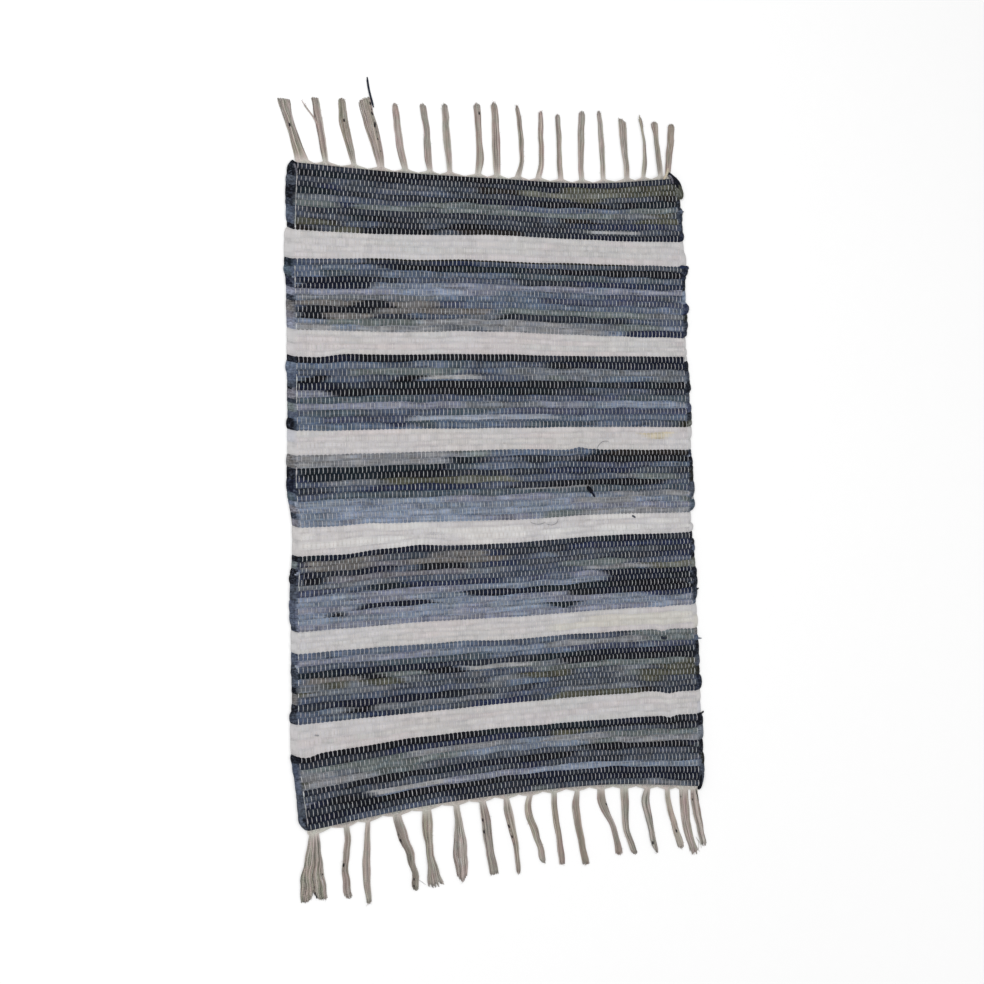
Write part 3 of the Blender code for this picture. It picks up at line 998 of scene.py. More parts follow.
@dataclass(frozen=True)
class RagFinish:
    """Torn cotton and denim rags: streaks along each rag, partly the cloth's own and partly painted light and
    shade of its creases, threads, pale flecks and creases, with painted shade in thin fold lines and painted
    light and shade of the folds over the turns.

    The spans are the values of a noise, or of paleness, between which each change comes in.
    """
    number_step: float = 3.7
    creases: Noise = Noise((26, 430, 26), 4)
    # the creases' colour swing: partly painted light and shade of the creases, which the bump also raises,
    # and partly the cloth's own streaky tone
    crease_light_and_streak: float = 0.30
    crease_depth: float = 0.0003
    threads: Noise = Noise((900, 2400, 900), 2)
    thread: float = 0.16
    thread_depth: float = 0.0001
    folds: Noise = Noise((70, 190, 70), 3)
    saturation: Pair = (0.8, 1.15)
    value: Pair = (1.12, 0.88)
    hues: Noise = Noise((14, 90, 14), 2)
    hue: Pair = (0.49, 0.51)
    # thin fold lines along the rags: painted shade in each fold's crease, where the bump also sinks
    crease_lines: Noise = Noise((16, 260, 16), 1)
    painted_crease_shade: float = 0.4
    fold_width: float = 0.03
    fold_depth: float = 0.0003
    spots: Noise = Noise((330, 480, 330), 3)
    # over the turns: painted light on the creases of their folds, and painted shade in the dark patches
    # between them
    painted_fold_light_span: Pair = (0.32, 0.68)
    painted_fold_light: Pair = (0.5, 1.7)
    painted_fold_shade_span: Pair = (0.5, 0.72)
    painted_fold_shade: float = 0.5
    painted_fold_shade_colour: Colour = (0.12, 0.14, 0.18, 1)
    flecks: Noise = Noise((700, 1300, 700), 1)
    fleck_span: Pair = (0.6, 0.75)
    fleck: float = 0.10
    fleck_colour: Colour = (0.30, 0.32, 0.36, 1)
    pale_span: Pair = (0.2, 0.45)
    evenness: float = 0.97
    drift: Noise = Noise((4, 9, 4), 2)
    warm_span: Pair = (0.4, 0.66)
    warmth: float = 0.55
    warm_dye: Colour = (1.035, 0.98, 0.94)
    roughness: float = 0.95
    sheen: float = 0.02

    def material(self) -> Material:
        """Make the rags' material."""
        tree = ShaderTree("rag_cloth")
        number = tree.attribute(RAG_NUMBER, "Fac")
        own = tree.math("MULTIPLY", number, self.number_step)
        creases, folds, threads, flecks, hues, crease_lines, spots = (tree.noise(noise, own) for noise in (
            self.creases, self.folds, self.threads, self.flecks, self.hues, self.crease_lines, self.spots))
        # painted shade: the colour darkens along the thin fold lines, in the crease that the bump sinks
        seam = tree.math("ABSOLUTE", tree.math("SUBTRACT", crease_lines, 0.5))
        line = tree.ranged(seam, (0.0, self.fold_width), 1 - self.painted_crease_shade, 1.0)
        given = tree.attribute(RAG_COLOUR, "Color")
        tinted = tree.add("ShaderNodeHueSaturation")
        tree.link(given, tinted.inputs["Color"])
        for name, noise, change in (("Hue", hues, self.hue), ("Saturation", folds, self.saturation),
                                    ("Value", folds, self.value)):
            tree.link(tree.ranged(noise, tree.noise_span, *change), tinted.inputs[name])
        # the colour follows the creases' bump: partly painted light and shade, partly the cloth's own streaks
        colour = tree.scaled(tinted.outputs["Color"], tree.swing(creases, self.crease_light_and_streak),
                             tree.swing(threads, self.thread), line)
        paleness = tree.add("ShaderNodeRGBToBW")
        tree.link(given, paleness.inputs[0])
        even = tree.ranged(paleness.outputs[0], self.pale_span, 0.0, self.evenness)
        at_turn = tree.ranged(number, (LEFT_TURN_NUMBERS - 2, LEFT_TURN_NUMBERS - 1), 0.0, 1.0)
        # over the turns only: painted light on the folds' creases and painted shade in the dark patches
        # between them
        fold_light_factor = tree.ranged(spots, self.painted_fold_light_span, *self.painted_fold_light)
        colour = tree.mixed(at_turn, colour, tree.scaled(colour, fold_light_factor))
        fold_shade_share = tree.math("MULTIPLY", tree.ranged(spots, self.painted_fold_shade_span, 0.0, self.painted_fold_shade), at_turn)
        colour = tree.mixed(fold_shade_share, colour, self.painted_fold_shade_colour)
        share = tree.ranged(flecks, self.fleck_span, 0.0, self.fleck)
        colour = tree.mixed(share, colour, self.fleck_colour)
        colour = tree.mixed(even, colour, given)
        drift = tree.ranged(tree.noise(self.drift), self.warm_span, 0.0, self.warmth)
        warm = tree.dyed(colour, self.warm_dye)
        colour = tree.mixed(tree.math("MULTIPLY", drift, even), colour, warm)
        tree.matte(colour, self.roughness, self.sheen)
        tree.bump((line, self.fold_depth), (creases, self.crease_depth), (threads, self.thread_depth))
        return tree.material


@dataclass(frozen=True)
class CottonFinish:
    """Plied cotton yarn: a twist that runs round it, with painted shade in the grooves between its plies,
    soft change along it, and a little fuzz.
    """
    plies: int = 2
    twist_length: float = 0.0032
    # painted shade: how much darker the grooves between the plies are, where the twist's bump sinks, and how
    # much lighter its ridges
    painted_twist_shade: float = 0.12
    twist_depth: float = 0.00012
    soft: Noise = Noise((90, 90, 90), 3)
    shade: float = 0.12
    fuzz: Noise = Noise((2200, 2200, 2200), 1)
    fuzz_shade: float = 0.1
    fuzz_depth: float = 0.00006
    hues: Noise = Noise((70, 70, 70), 2)
    hue_span: Pair = (0.32, 0.68)
    rosy: Colour = (1.05, 0.97, 0.97, 1)
    greenish: Colour = (0.96, 1.01, 0.97, 1)
    roughness: float = 0.9
    sheen: float = 0.06

    def material(self) -> Material:
        """Make the yarn's material."""
        tree = ShaderTree("cotton_yarn")
        split = tree.add("ShaderNodeSeparateXYZ")
        tree.link(tree.add("ShaderNodeUVMap", uv_map=YARN_MAP).outputs["UV"], split.inputs[0])
        along = tree.math("MULTIPLY", split.outputs["Y"], 2 * math.pi / self.twist_length)
        around = tree.math("MULTIPLY", split.outputs["X"], 2 * math.pi * self.plies)
        twist = tree.math("SINE", tree.math("ADD", along, around))
        number = tree.attribute(RAG_NUMBER, "Fac")
        soft, fuzz = tree.noise(self.soft, number), tree.noise(self.fuzz, number)
        hues = tree.ranged(tree.noise(self.hues), self.hue_span, 0.0, 1.0)
        dye = tree.mixed(hues, self.rosy, self.greenish)
        # painted shade in the grooves between the plies, following the twist's bump
        colour = tree.scaled(
            tree.dyed(tree.attribute(YARN_COLOUR, "Color"), dye),
            tree.ranged(twist, (-1, 1), 1 - self.painted_twist_shade, 1 + self.painted_twist_shade / 2),
            tree.swing(soft, self.shade), tree.swing(fuzz, self.fuzz_shade))
        tree.matte(colour, self.roughness, self.sheen)
        tree.bump((twist, self.twist_depth), (fuzz, self.fuzz_depth))
        return tree.material


@dataclass(frozen=True)
class FloorFinish:
    """A plain pale floor with the faintest grain."""
    grain: Noise = Noise((40, 40, 40), 2)
    grain_share: float = 0.1
    pale: Colour = (0.90, 0.90, 0.90, 1)
    dark: Colour = (0.86, 0.86, 0.86, 1)
    roughness: float = 0.9

    def material(self) -> Material:
        """Make the floor's material."""
        tree = ShaderTree("pale_floor")
        share = tree.ranged(tree.noise(self.grain), tree.noise_span, 0.0, self.grain_share)
        tree.matte(tree.mixed(share, self.pale, self.dark), self.roughness, 0.0)
        return tree.material


# -------- the woven rags


class Rag(NamedTuple):
    """One torn rag along a rib: its two ends across the rug, and its cloth."""
    start: float
    end: float
    cloth: Cloth


@dataclass
class RagPlan:
    """Which rag shows where: each rib is filled from its mix, and the streaks are laid over it."""
    seed: Seed = Seed.RAGS
    usual_length: float = 95.0
    length_shape: float = 1.2
    least_length: float = 9.0
    reach: float = 335.0
    random: np.random.Generator = field(init=False)

    def __post_init__(self) -> None:
        """Start the random numbers."""
        self.random = np.random.default_rng(self.seed)

    @property
    def mixes(self) -> list[Mix]:
        """The mix of every rib from the top end down."""
        return [Mix[word.upper()] for text in RIBS for word in text.split()]

    def _torn(self, start: float, end: float, rags: Cloth | Mix) -> list[Rag]:
        """Fill a stretch with rags of random length.

        Args:
            start: where it starts across the rug.
            end: where it ends.
            rags: its one cloth, or the mix that its cloths are drawn from.

        Returns:
            Its rags from left to right.
        """
        if isinstance(rags, Cloth):
            return [Rag(start, end, rags)]
        filled = []
        while start < end:
            extra = self.random.gamma(self.length_shape, self.usual_length / self.length_shape)
            length = self.least_length + extra
            stop = end if end - start - length < self.least_length else start + length
            cloths = [cloth for cloth in rags.cloths if not filled or cloth != filled[-1].cloth]
            filled.append(Rag(start, stop, cloths[self.random.integers(len(cloths))]))
            start = stop
        return filled

    def rib(self, number: int) -> list[list[Rag]]:
        """Lay out one rib's rags.

        Args:
            number: the rib's number from the top end.

        Returns:
            The rags from left to right, for each of the rib's three rows.
        """
        rows = [self._torn(-self.reach, self.reach, self.mixes[number])] * 3
        for words in STREAKS.get(number, "").split(","):
            if words:
                start, end, rags, parts = Streak.read(words)
                laid = self._torn(start, end, rags)
                for part in parts:
                    before = [Rag(rag.start, min(rag.end, start), rag.cloth)
                              for rag in rows[part] if rag.start < start]
                    after = [Rag(max(rag.start, end), rag.end, rag.cloth)
                             for rag in rows[part] if rag.end > end]
                    rows[part] = before + laid + after
        return rows


class Turn(NamedTuple):
    """One turn of rag at a side: its levels, its outer and inner cloth, and how far it stands out."""
    start: float
    end: float
    cloths: tuple[Cloth, Cloth]
    reach: float


@dataclass
class ClothSide:
    """The upper or the lower side of the sheet of rags.

    levels holds its rows' levels, and points a place for each row and column. edge_faces says how many
    faces lie over the turns at each edge, and warps_each how many warp yarns a face spans.
    """
    levels: Array
    points: Array
    edge_faces: int
    warps_each: int
    faces_up: bool
    first: int = 0

    @property
    def numbers(self) -> Array:
        """Numbers of its points in the joined mesh, for each row and column."""
        rows, columns = self.points.shape[:2]
        return self.first + np.arange(rows * columns).reshape(rows, columns)


@dataclass
class RagCloth:
    """The woven rags: one closed sheet with a rib for each pick and a pillow between warp yarns."""
    layout: Layout
    crest: float = 5.25
    crest_change: float = 0.45
    groove: float = 4.1
    valley: float = 3.75
    end_height: float = 3.2
    turn_height: float = 4.9
    turn_valley: float = 2.7
    edge_height: float = 1.7
    under_edge: float = 0.5
    under_inset: float = 1.4
    under_crest: float = 0.3
    under_valley: float = 1.5
    under_turn_columns: tuple[int, int] = (4, 2)
    rib_marks: tuple[float, ...] = (0.0, 0.28, 0.72)
    turn_marks: tuple[float, ...] = (0.0, 0.05, 0.14, 0.28, 0.46, 0.64, 0.82)
    left_slant: float = 3.4
    right_slant: float = 2.0
    bulge: float = 0.55
    pale_crest: float = 5.05
    pale_groove: float = 4.5
    pale_valley: float = 3.95
    left_corners: Pair = (6.5, 6.0)
    right_corners: Pair = (2.0, 6.5)
    corner_levels: float = 1.6
    notch: float = 0.5
    turn_swell: Pair = (0.35, 0.2)
    turn_shoulder: float = 2.2
    fat_pitch: float = 29.0
    cell_change: float = 0.12
    rag_change: float = 0.16
    rag_pitch: float = 17.5
    fold_change: float = 0.30
    fold_pitch: float = 11.5
    hue_change: Colour = (0.07, 0.01, -0.08)
    hue_pitch: float = 8.5
    pillow_evenness: float = 0.5
    rib_evenness: float = 0.6
    # painted light and shade of the creased folds over the turns: how far the colour swings, its random
    # table's columns and its ripple
    painted_fold_change: float = 0.3
    turn_places: Pair = (15, 12)
    painted_fold_ripple: float = 0.1
    # painted shade: the turns' colour at their ends, where one turn meets the next, and how much lighter
    # their round middles are
    turn_painted_shade: Pair = (0.78, 0.24)
    # painted shade: each rib's upper and lower rows of faces are darker, for the shade in the valleys between
    # ribs, and its middle row a little lighter
    painted_rib_shade: tuple[float, ...] = (0.9, 1.04, 0.92)
    slant: float = 12.0
    soften: float = 6.0
    turn_blend: Pair = (0.3, 0.6)
    map_margin: float = 0.02
    map_width: float = 0.46
    map_height: float = 0.96
    plan: RagPlan = field(default_factory=RagPlan)
    parts: MeshParts = field(default_factory=MeshParts)

    def __post_init__(self) -> None:
        """Lay out the rags and their turns, and draw their unevenness."""
        picks = self.layout.picks
        self.rags = [[self._colours_along(rags) for rags in self.plan.rib(number)]
                     for number in range(picks)]
        self.pale = np.array([mix in (Mix.CREAM, Mix.MILK) for mix in self.plan.mixes])
        self.left_turns = self._turns(LEFT_TURNS)
        self.right_turns = self._turns(RIGHT_TURNS)
        self.fatness = Drift(Seed.FATNESS, picks, 24)
        self.shades = Drift(Seed.SHADES, picks, 40)
        self.turn_shades = Drift(Seed.TURN_SHADES, 3 * picks + 2, 30)
        self.folds = Drift(Seed.FOLDS, 3 * picks, 60)
        self.hues = Drift(Seed.HUES, 3 * picks, 80)
        random = np.random.default_rng(Seed.PILLOWS)
        self.cells = random.uniform(-1, 1, (picks, self.layout.warps + 40))
        self.slants = random.uniform(-1, 1, (picks, 40))

    @staticmethod
    def _colours_along(rags: list[Rag]) -> tuple[Array, Array]:
        """Places where a rib's rags end, and the rags' colours as light."""
        return np.array([rag.end for rag in rags]), np.array([linear(rag.cloth.value) for rag in rags])

    @staticmethod
    def _turns(bands: tuple[str, ...]) -> list[Turn]:
        """Lay out the turns down one side.

        Args:
            bands: the turns of each band.

        Returns:
            The turns from the top end down.
        """
        turns = []
        start = 0.0
        for text, line in zip(bands, LINES[1:]):
            words = [part.split() for part in text.split(",")]
            total = sum(float(word[1]) for word in words)
            for names, size, reach in words:
                cloths = [Cloth[name.upper()] for name in names.split("/")]
                end = start + line.picks * float(size) / total
                turns.append(Turn(start, end, (cloths[0], cloths[-1]), float(reach)))
                start = end
            start = round(start)
        return turns

    def _turn_at(self, turns: list[Turn], levels: Array) -> tuple[Array, Array]:
        """Find the turn at each level.

        Args:
            turns: the turns down one side.
            levels: levels down the rug.

        Returns:
            The number of each level's turn, and the level's share of the way through it.
        """
        ends = np.array([turn.end for turn in turns])
        number = np.clip(np.searchsorted(ends, levels, side="left"), 0, len(turns) - 1)
        starts = np.array([turn.start for turn in turns])
        share = (levels - starts[number]) / (ends[number] - starts[number])
        return number, share.clip(0, 1)

    def _outer_edge(self, turns: list[Turn], levels: Array) -> Array:
        """How far the turns stand out from the side at each level."""
        number, share = self._turn_at(turns, levels)
        reach = np.array([turn.reach for turn in turns])
        before = reach[np.maximum(number - 1, 0)]
        after = reach[np.minimum(number + 1, len(turns) - 1)]
        neighbour = np.where(share < 0.5, before, after)
        notch = np.minimum(reach[number], neighbour) - self.notch
        edge = notch + (reach[number] - notch) * np.sin(np.pi * share).clip(0) ** 0.6
        insets = self.left_corners if turns is self.left_turns else self.right_corners
        for inset, level in zip(insets, (0, self.layout.picks)):
            edge = edge - inset * (1 - np.abs(levels - level) / self.corner_levels).clip(0) ** 2
        return edge

    def _columns(self, levels: Array) -> Array:
        """Places across the rug of every column of points.

        Args:
            levels: the rows' levels.

        Returns:
            A place for each row and column: the left turns, the warp yarns, the right turns.
        """
        levels = levels[:, None]
        warps = self.layout.warp_places(levels, np.arange(self.layout.warps)[None])
        left, right = self.layout.edges(levels)
        left = left - self._outer_edge(self.left_turns, levels)
        right = right + self._outer_edge(self.right_turns, levels)
        marks = np.array(self.turn_marks)[None]
        at_left = left + (warps[:, :1] - left) * marks
        at_right = right + (warps[:, -1:] - right) * marks[:, ::-1]
        return np.concatenate([at_left, warps, at_right], 1)

    def _heights_up(self, levels: Array, x: Array, bulge: float) -> Array:
        """Heights up the rug of every point of a side of the cloth.

        Args:
            levels: the rows' levels.
            x: the points' places across the rug.
            bulge: how far the pillows push their neighbours' edges away.

        Returns:
            A height for each row and column. The turns slant, with their outer ends higher.
        """
        y = self.layout.heights(levels[:, None], x)
        marks = np.array(self.turn_marks)[None]
        y[:, :len(self.turn_marks)] += self.left_slant * (1 - marks) ** 1.5
        y[:, -len(self.turn_marks):] += self.right_slant * (1 - marks[:, ::-1]) ** 1.5
        pick = np.round(levels).astype(int)
        on_line = (levels == pick) & (pick > 0) & (pick < self.layout.picks)
        warps = np.arange(self.layout.warps)[None]
        push = np.where((warps + pick[:, None]) % 2 == 0, -bulge, bulge) * on_line[:, None]
        y[:, len(self.turn_marks):-len(self.turn_marks)] += push
        return y

    def _turn_heights(self, turns: list[Turn], levels: Array) -> Array:
        """Heights of the columns of points over the turns at one side.

        Args:
            turns: the turns.
            levels: the rows' levels.

        Returns:
            A height for each row and each of the turn's marks, from the edge inward.
        """
        number, share = self._turn_at(turns, levels)
        swell = np.sin(np.pi * share).clip(0) ** 0.4
        slow, quick = self.turn_swell
        fat = slow * np.sin(number * 2.3) + quick * np.sin(levels * 5.1)
        middle = self.turn_valley + (self.turn_height + fat - self.turn_valley) * swell
        marks = np.array(self.turn_marks)
        rise = np.sqrt(1 - (1 - np.minimum(marks * self.turn_shoulder, 1)) ** 2)
        edge = self.edge_height * (0.75 + 0.25 * swell)
        return edge[:, None] + (middle - edge)[:, None] * rise[None]

    def _top_heights(self, levels: Array, x: Array) -> Array:
        """Heights of the upper points.

        Args:
            levels: the rows' levels.
            x: the points' places across the rug.

        Returns:
            A height for each row and column.
        """
        marks = len(self.turn_marks)
        rows, pick = levels[:, None], np.floor(levels).astype(int)[:, None]
        warps = np.arange(self.layout.warps)[None]
        over = (warps + pick) % 2 == 0
        last = self.layout.picks - 1
        fat = self.crest_change * self.fatness.at(
            np.minimum(pick, last), (x[:, marks:-marks] + HALF_ACROSS) / self.fat_pitch)
        pale = self.pale[np.minimum(pick, last)]
        groove = np.where(pale, self.pale_groove, self.groove)
        crest = np.where(pale, self.pale_crest, self.crest)
        heights = np.where(over, groove + fat / 2, crest + fat * np.where(pale, 0.5, 1.0))
        on_line = (rows == pick) & np.ones_like(over)
        between_pale = pale & self.pale[np.clip(pick - 1, 0, last)]
        heights = np.where(on_line, np.where(between_pale, self.pale_valley, self.valley), heights)
        at_end = (rows == 0) | (rows == self.layout.picks)
        heights = np.where(at_end, self.end_height, heights)
        left = self._turn_heights(self.left_turns, levels)
        right = self._turn_heights(self.right_turns, levels)[:, ::-1]
        return np.concatenate([left, heights, right], 1)

    @staticmethod
    def _evenness(tone: Array) -> Array:
        """How much less a rag's shade changes along it than a black rag's, for the rag's tone."""
        return np.maximum(1.4 * tone, 2.6 * tone - 0.4).clip(0, 0.86)

    def _cloth_colours(self, pick: int, part: int, x: Array, cell: Array) -> Array:
        """Colours along one pick, with painted shade towards the valleys between ribs.

        Args:
            pick: the pick's number.
            part: which row of its faces, from 0 to 2.
            x: the faces' places across the rug.
            cell: numbers that change the shade from one pillow to the next.

        Returns:
            A colour for each face.
        """
        ends, colours = self.rags[pick][part]
        slant = self.slant * (part - 1) * self.slants[pick][:len(ends)]
        near = x[:, None, None] + self.soften * np.array([-1, 0, 1])[None, :, None]
        rag = np.minimum((near > ends + slant).sum(-1), len(colours) - 1)
        place = x + HALF_ACROSS
        change = self.rag_change * self.shades.at(pick, place / self.rag_pitch)
        change = change + self.fold_change * self.folds.at(3 * pick + part, place / self.fold_pitch)
        chosen = colours[rag].mean(1)
        evenness = self._evenness(chosen.mean(1))
        pillow = self.cell_change * self.cells[pick][cell] * (1 - self.pillow_evenness * evenness)
        # painted shade in the valleys between ribs, weaker on pale rags
        shade = 1 + (self.painted_rib_shade[part] - 1) * (1 - self.rib_evenness * evenness)
        shade = shade * (1 + change * (1 - evenness) + pillow)
        hue = self.hues.at(3 * pick + part, place / self.hue_pitch) * (1 - evenness)
        return chosen * shade[:, None] * (1 + hue[:, None] * np.array(self.hue_change))

    def _turn_colours(self, turns: list[Turn], level: float) -> Array:
        """Colours of the turn of rag at a level: one for each of its marks, from the edge inward, with
        painted light and shade of its folds and painted shade towards its ends.
        """
        number, share = self._turn_at(turns, np.array([level]))
        outer, inner = (linear(cloth.value) for cloth in turns[number[0]].cloths)
        marks = np.array(self.turn_marks)[:, None]
        ahead = (marks + 0.25 * math.sin(number[0] * 5.3) * (share - 0.5) * 2) > 0.5
        at_right, width = self.turn_places
        side = 0 if turns is self.left_turns else at_right
        # painted light and shade of the turn's creased folds, lighter creases and darker lines between them,
        # weaker on pale rags
        change = self.painted_fold_change * self.turn_shades.at(3 * level, side + marks * width)
        change = change + self.painted_fold_ripple * np.sin(number[0] * 4.7 + level * 3.1 + marks * 4)
        shade = 1 + change * (1 - 1.6 * outer.mean()).clip(0.15)
        # painted shade: each turn is darker towards its ends, where it meets the next turn, and lighter over
        # its round middle
        rim, middle = self.turn_painted_shade
        painted_round_shade = rim + middle * np.sin(np.pi * share).clip(0) ** 0.5
        return np.where(ahead, inner, outer) * shade * painted_round_shade

    def _row_colours(self, side: ClothSide, row: int, level: float) -> Array:
        """Colours of a row of faces.

        Args:
            side: the side of the sheet.
            row: the row of points that the faces hang from.
            level: level of the faces' middle.

        Returns:
            A colour for each face of the row.
        """
        edge = side.edge_faces
        x = side.points[row, :, 0]
        pick = min(int(level), self.layout.picks - 1)
        part = min(int((level - pick) * 3), 2)
        cell = (np.arange(len(x) - 1) * side.warps_each + pick) // 2
        colours = self._cloth_colours(pick, part, (x[1:] + x[:-1]) / 2, cell)
        step = len(self.turn_marks) // edge
        left = self._turn_colours(self.left_turns, level)[::step][:edge]
        right = self._turn_colours(self.right_turns, level)[::-1][::step][:edge]
        shares = np.ones((edge, 1))
        if step == 1:
            shares[-2:, 0] -= self.turn_blend
        colours[:edge] = colours[:edge] * (1 - shares) + left * shares
        colours[-edge:] = colours[-edge:] * (1 - shares[::-1]) + right * shares[::-1]
        return colours

    def _across_map(self, x: Array, shift: float = 0.0) -> Array:
        """Places along the bake's map for places across the rug."""
        return shift + self.map_margin + self.map_width * (x + HALF_ACROSS) / (2 * HALF_ACROSS)

    def _add_side(self, side: ClothSide) -> None:
        """Add one side of the sheet, and tell it the number of its first point."""
        side.first = self.parts.add_points(self.layout.world(side.points.reshape(-1, 3)))
        rows, columns = side.points.shape[:2]
        middles = (side.levels[1:] + side.levels[:-1]) / 2
        colours = np.stack([self._row_colours(side, row, level) for row, level in enumerate(middles)])
        row, column = np.meshgrid(np.arange(rows - 1), np.arange(columns - 1), indexing="ij")
        row, column = row.ravel(), column.ravel()
        down = np.stack([row, row + 1, row + 1, row], 1)
        along = np.stack([column, column, column + 1, column + 1], 1)
        if not side.faces_up:
            down, along = down[:, ::-1], along[:, ::-1]
        across = self._across_map(side.points[down, along, 0], 0.0 if side.faces_up else 0.5)
        height = side.points[down, along, 1] + HALF_UP
        places = np.stack([across, self.map_margin + self.map_height * height / (2 * HALF_UP)], -1)
        left = LEFT_TURN_NUMBERS + self._turn_at(self.left_turns, middles)[0][row]
        right = RIGHT_TURN_NUMBERS + self._turn_at(self.right_turns, middles)[0][row]
        number = np.where(column < side.edge_faces, left, np.floor(middles)[row])
        number = np.where(column >= columns - 1 - side.edge_faces, right, number)
        colours = np.repeat(colours.reshape(-1, 1, 3), 4, 1)
        self.parts.add_faces(side.numbers[down, along], places, colours,
                             np.repeat(number[:, None], 4, 1))

    def _seam(self, upper: Array, lower: Array, colours: Array,
              places: tuple[Array, ...], flip: bool) -> None:
        """Close the gap between an edge of the upper side and the same edge of the lower side.

        Args:
            upper: numbers of the upper edge's points.
            lower: numbers of the lower edge's points.
            colours: colours at the upper edge's points.
            places: places on the bake's map of the upper and the lower points.
            flip: whether the faces' corners run the other way.
        """
        corners, spots, shades = [], [], []
        i = j = 0
        last_i, last_j = len(upper) - 1, len(lower) - 1
        while i < last_i or j < last_j:
            if j == last_j or (i < last_i and (i + 1) / last_i <= (j + 1) / last_j):
                corners.append((upper[i], lower[j], upper[i + 1]))
                spots.append((places[0][i], places[1][j], places[0][i + 1]))
                i += 1
            else:
                corners.append((upper[i], lower[j], lower[j + 1]))
                spots.append((places[0][i], places[1][j], places[1][j + 1]))
                j += 1
            shades.append([colours[min(i, len(colours) - 1)]] * 3)
        corners, spots, shades = np.array(corners), np.array(spots), np.array(shades)
        if flip:
            corners, spots, shades = corners[:, ::-1], spots[:, ::-1], shades[:, ::-1]
        self.parts.add_faces(corners, spots, shades, np.zeros(corners.shape))

    def _close(self, upper: ClothSide, lower: ClothSide) -> None:
        """Close the sheet along its two edges and its two ends.

        Args:
            upper: the upper side.
            lower: the lower side.
        """
        picks = self.layout.picks
        for column, turns, u in ((0, self.left_turns, 0.488), (-1, self.right_turns, 0.504)):
            colours = np.array([self._turn_colours(turns, level)[0] for level in upper.levels])
            places = tuple(np.column_stack([np.full(len(side.levels), u + shift),
                                            self.map_margin + self.map_height * side.levels / picks])
                           for side, shift in ((upper, 0.0), (lower, 0.008)))
            self._seam(upper.numbers[:, column], lower.numbers[:, column], colours, places,
                       column == 0)
        for row, v, level in ((0, 0.986, 0.1), (-1, 0.006, picks - 0.1)):
            colours = self._row_colours(upper, row, level)
            places = tuple(np.column_stack([self._across_map(side.points[row, :, 0]),
                                            np.full(side.points.shape[1], v + shift)])
                           for side, shift in ((upper, 0.0), (lower, 0.006)))
            self._seam(upper.numbers[row], lower.numbers[row], colours, places, row == -1)

    def _upper_side(self) -> ClothSide:
        """Lay out the upper side, with its ribs and pillows."""
        picks = self.layout.picks
        levels = np.append((np.arange(picks)[:, None] + np.array(self.rib_marks)).ravel(), picks)
        x = self._columns(levels)
        y = self._heights_up(levels, x, self.bulge)
        points = np.stack([x, y, self._top_heights(levels, x)], -1)
        return ClothSide(levels, points, len(self.turn_marks), 1, True)

    def _lower_side(self) -> ClothSide:
        """Lay out the lower side, which has fewer points and no pillows."""
        levels = np.arange(2 * self.layout.picks + 1) / 2
        x = self._columns(levels)
        y = self._heights_up(levels, x, 0.0)
        first = len(self.turn_marks)
        after = first + self.layout.warps
        at_left, at_right = self.under_turn_columns
        chosen = [0, at_left, *range(first, after, 2), after + at_right, x.shape[1] - 1]
        x, y = x[:, chosen], y[:, chosen]
        x[:, 0] += self.under_inset
        x[:, -1] -= self.under_inset
        ridge = np.where(levels % 1 == 0, self.under_valley, self.under_crest)
        ridge[[0, -1]] = self.under_crest
        z = np.repeat(ridge[:, None], len(chosen), 1)
        z[:, [0, -1]] = self.under_edge
        return ClothSide(levels, np.stack([x, y, z], -1), 2, 2, False)

    def build(self, material: Material) -> Piece:
        """Build the sheet of rags.

        Args:
            material: the rags' finish.

        Returns:
            The sheet's object.
        """
        upper, lower = self._upper_side(), self._lower_side()
        self._add_side(upper)
        self._add_side(lower)
        self._close(upper, lower)
        return self.parts.build("rag_cloth", RAG_COLOUR, material)


# -------- the cotton warp


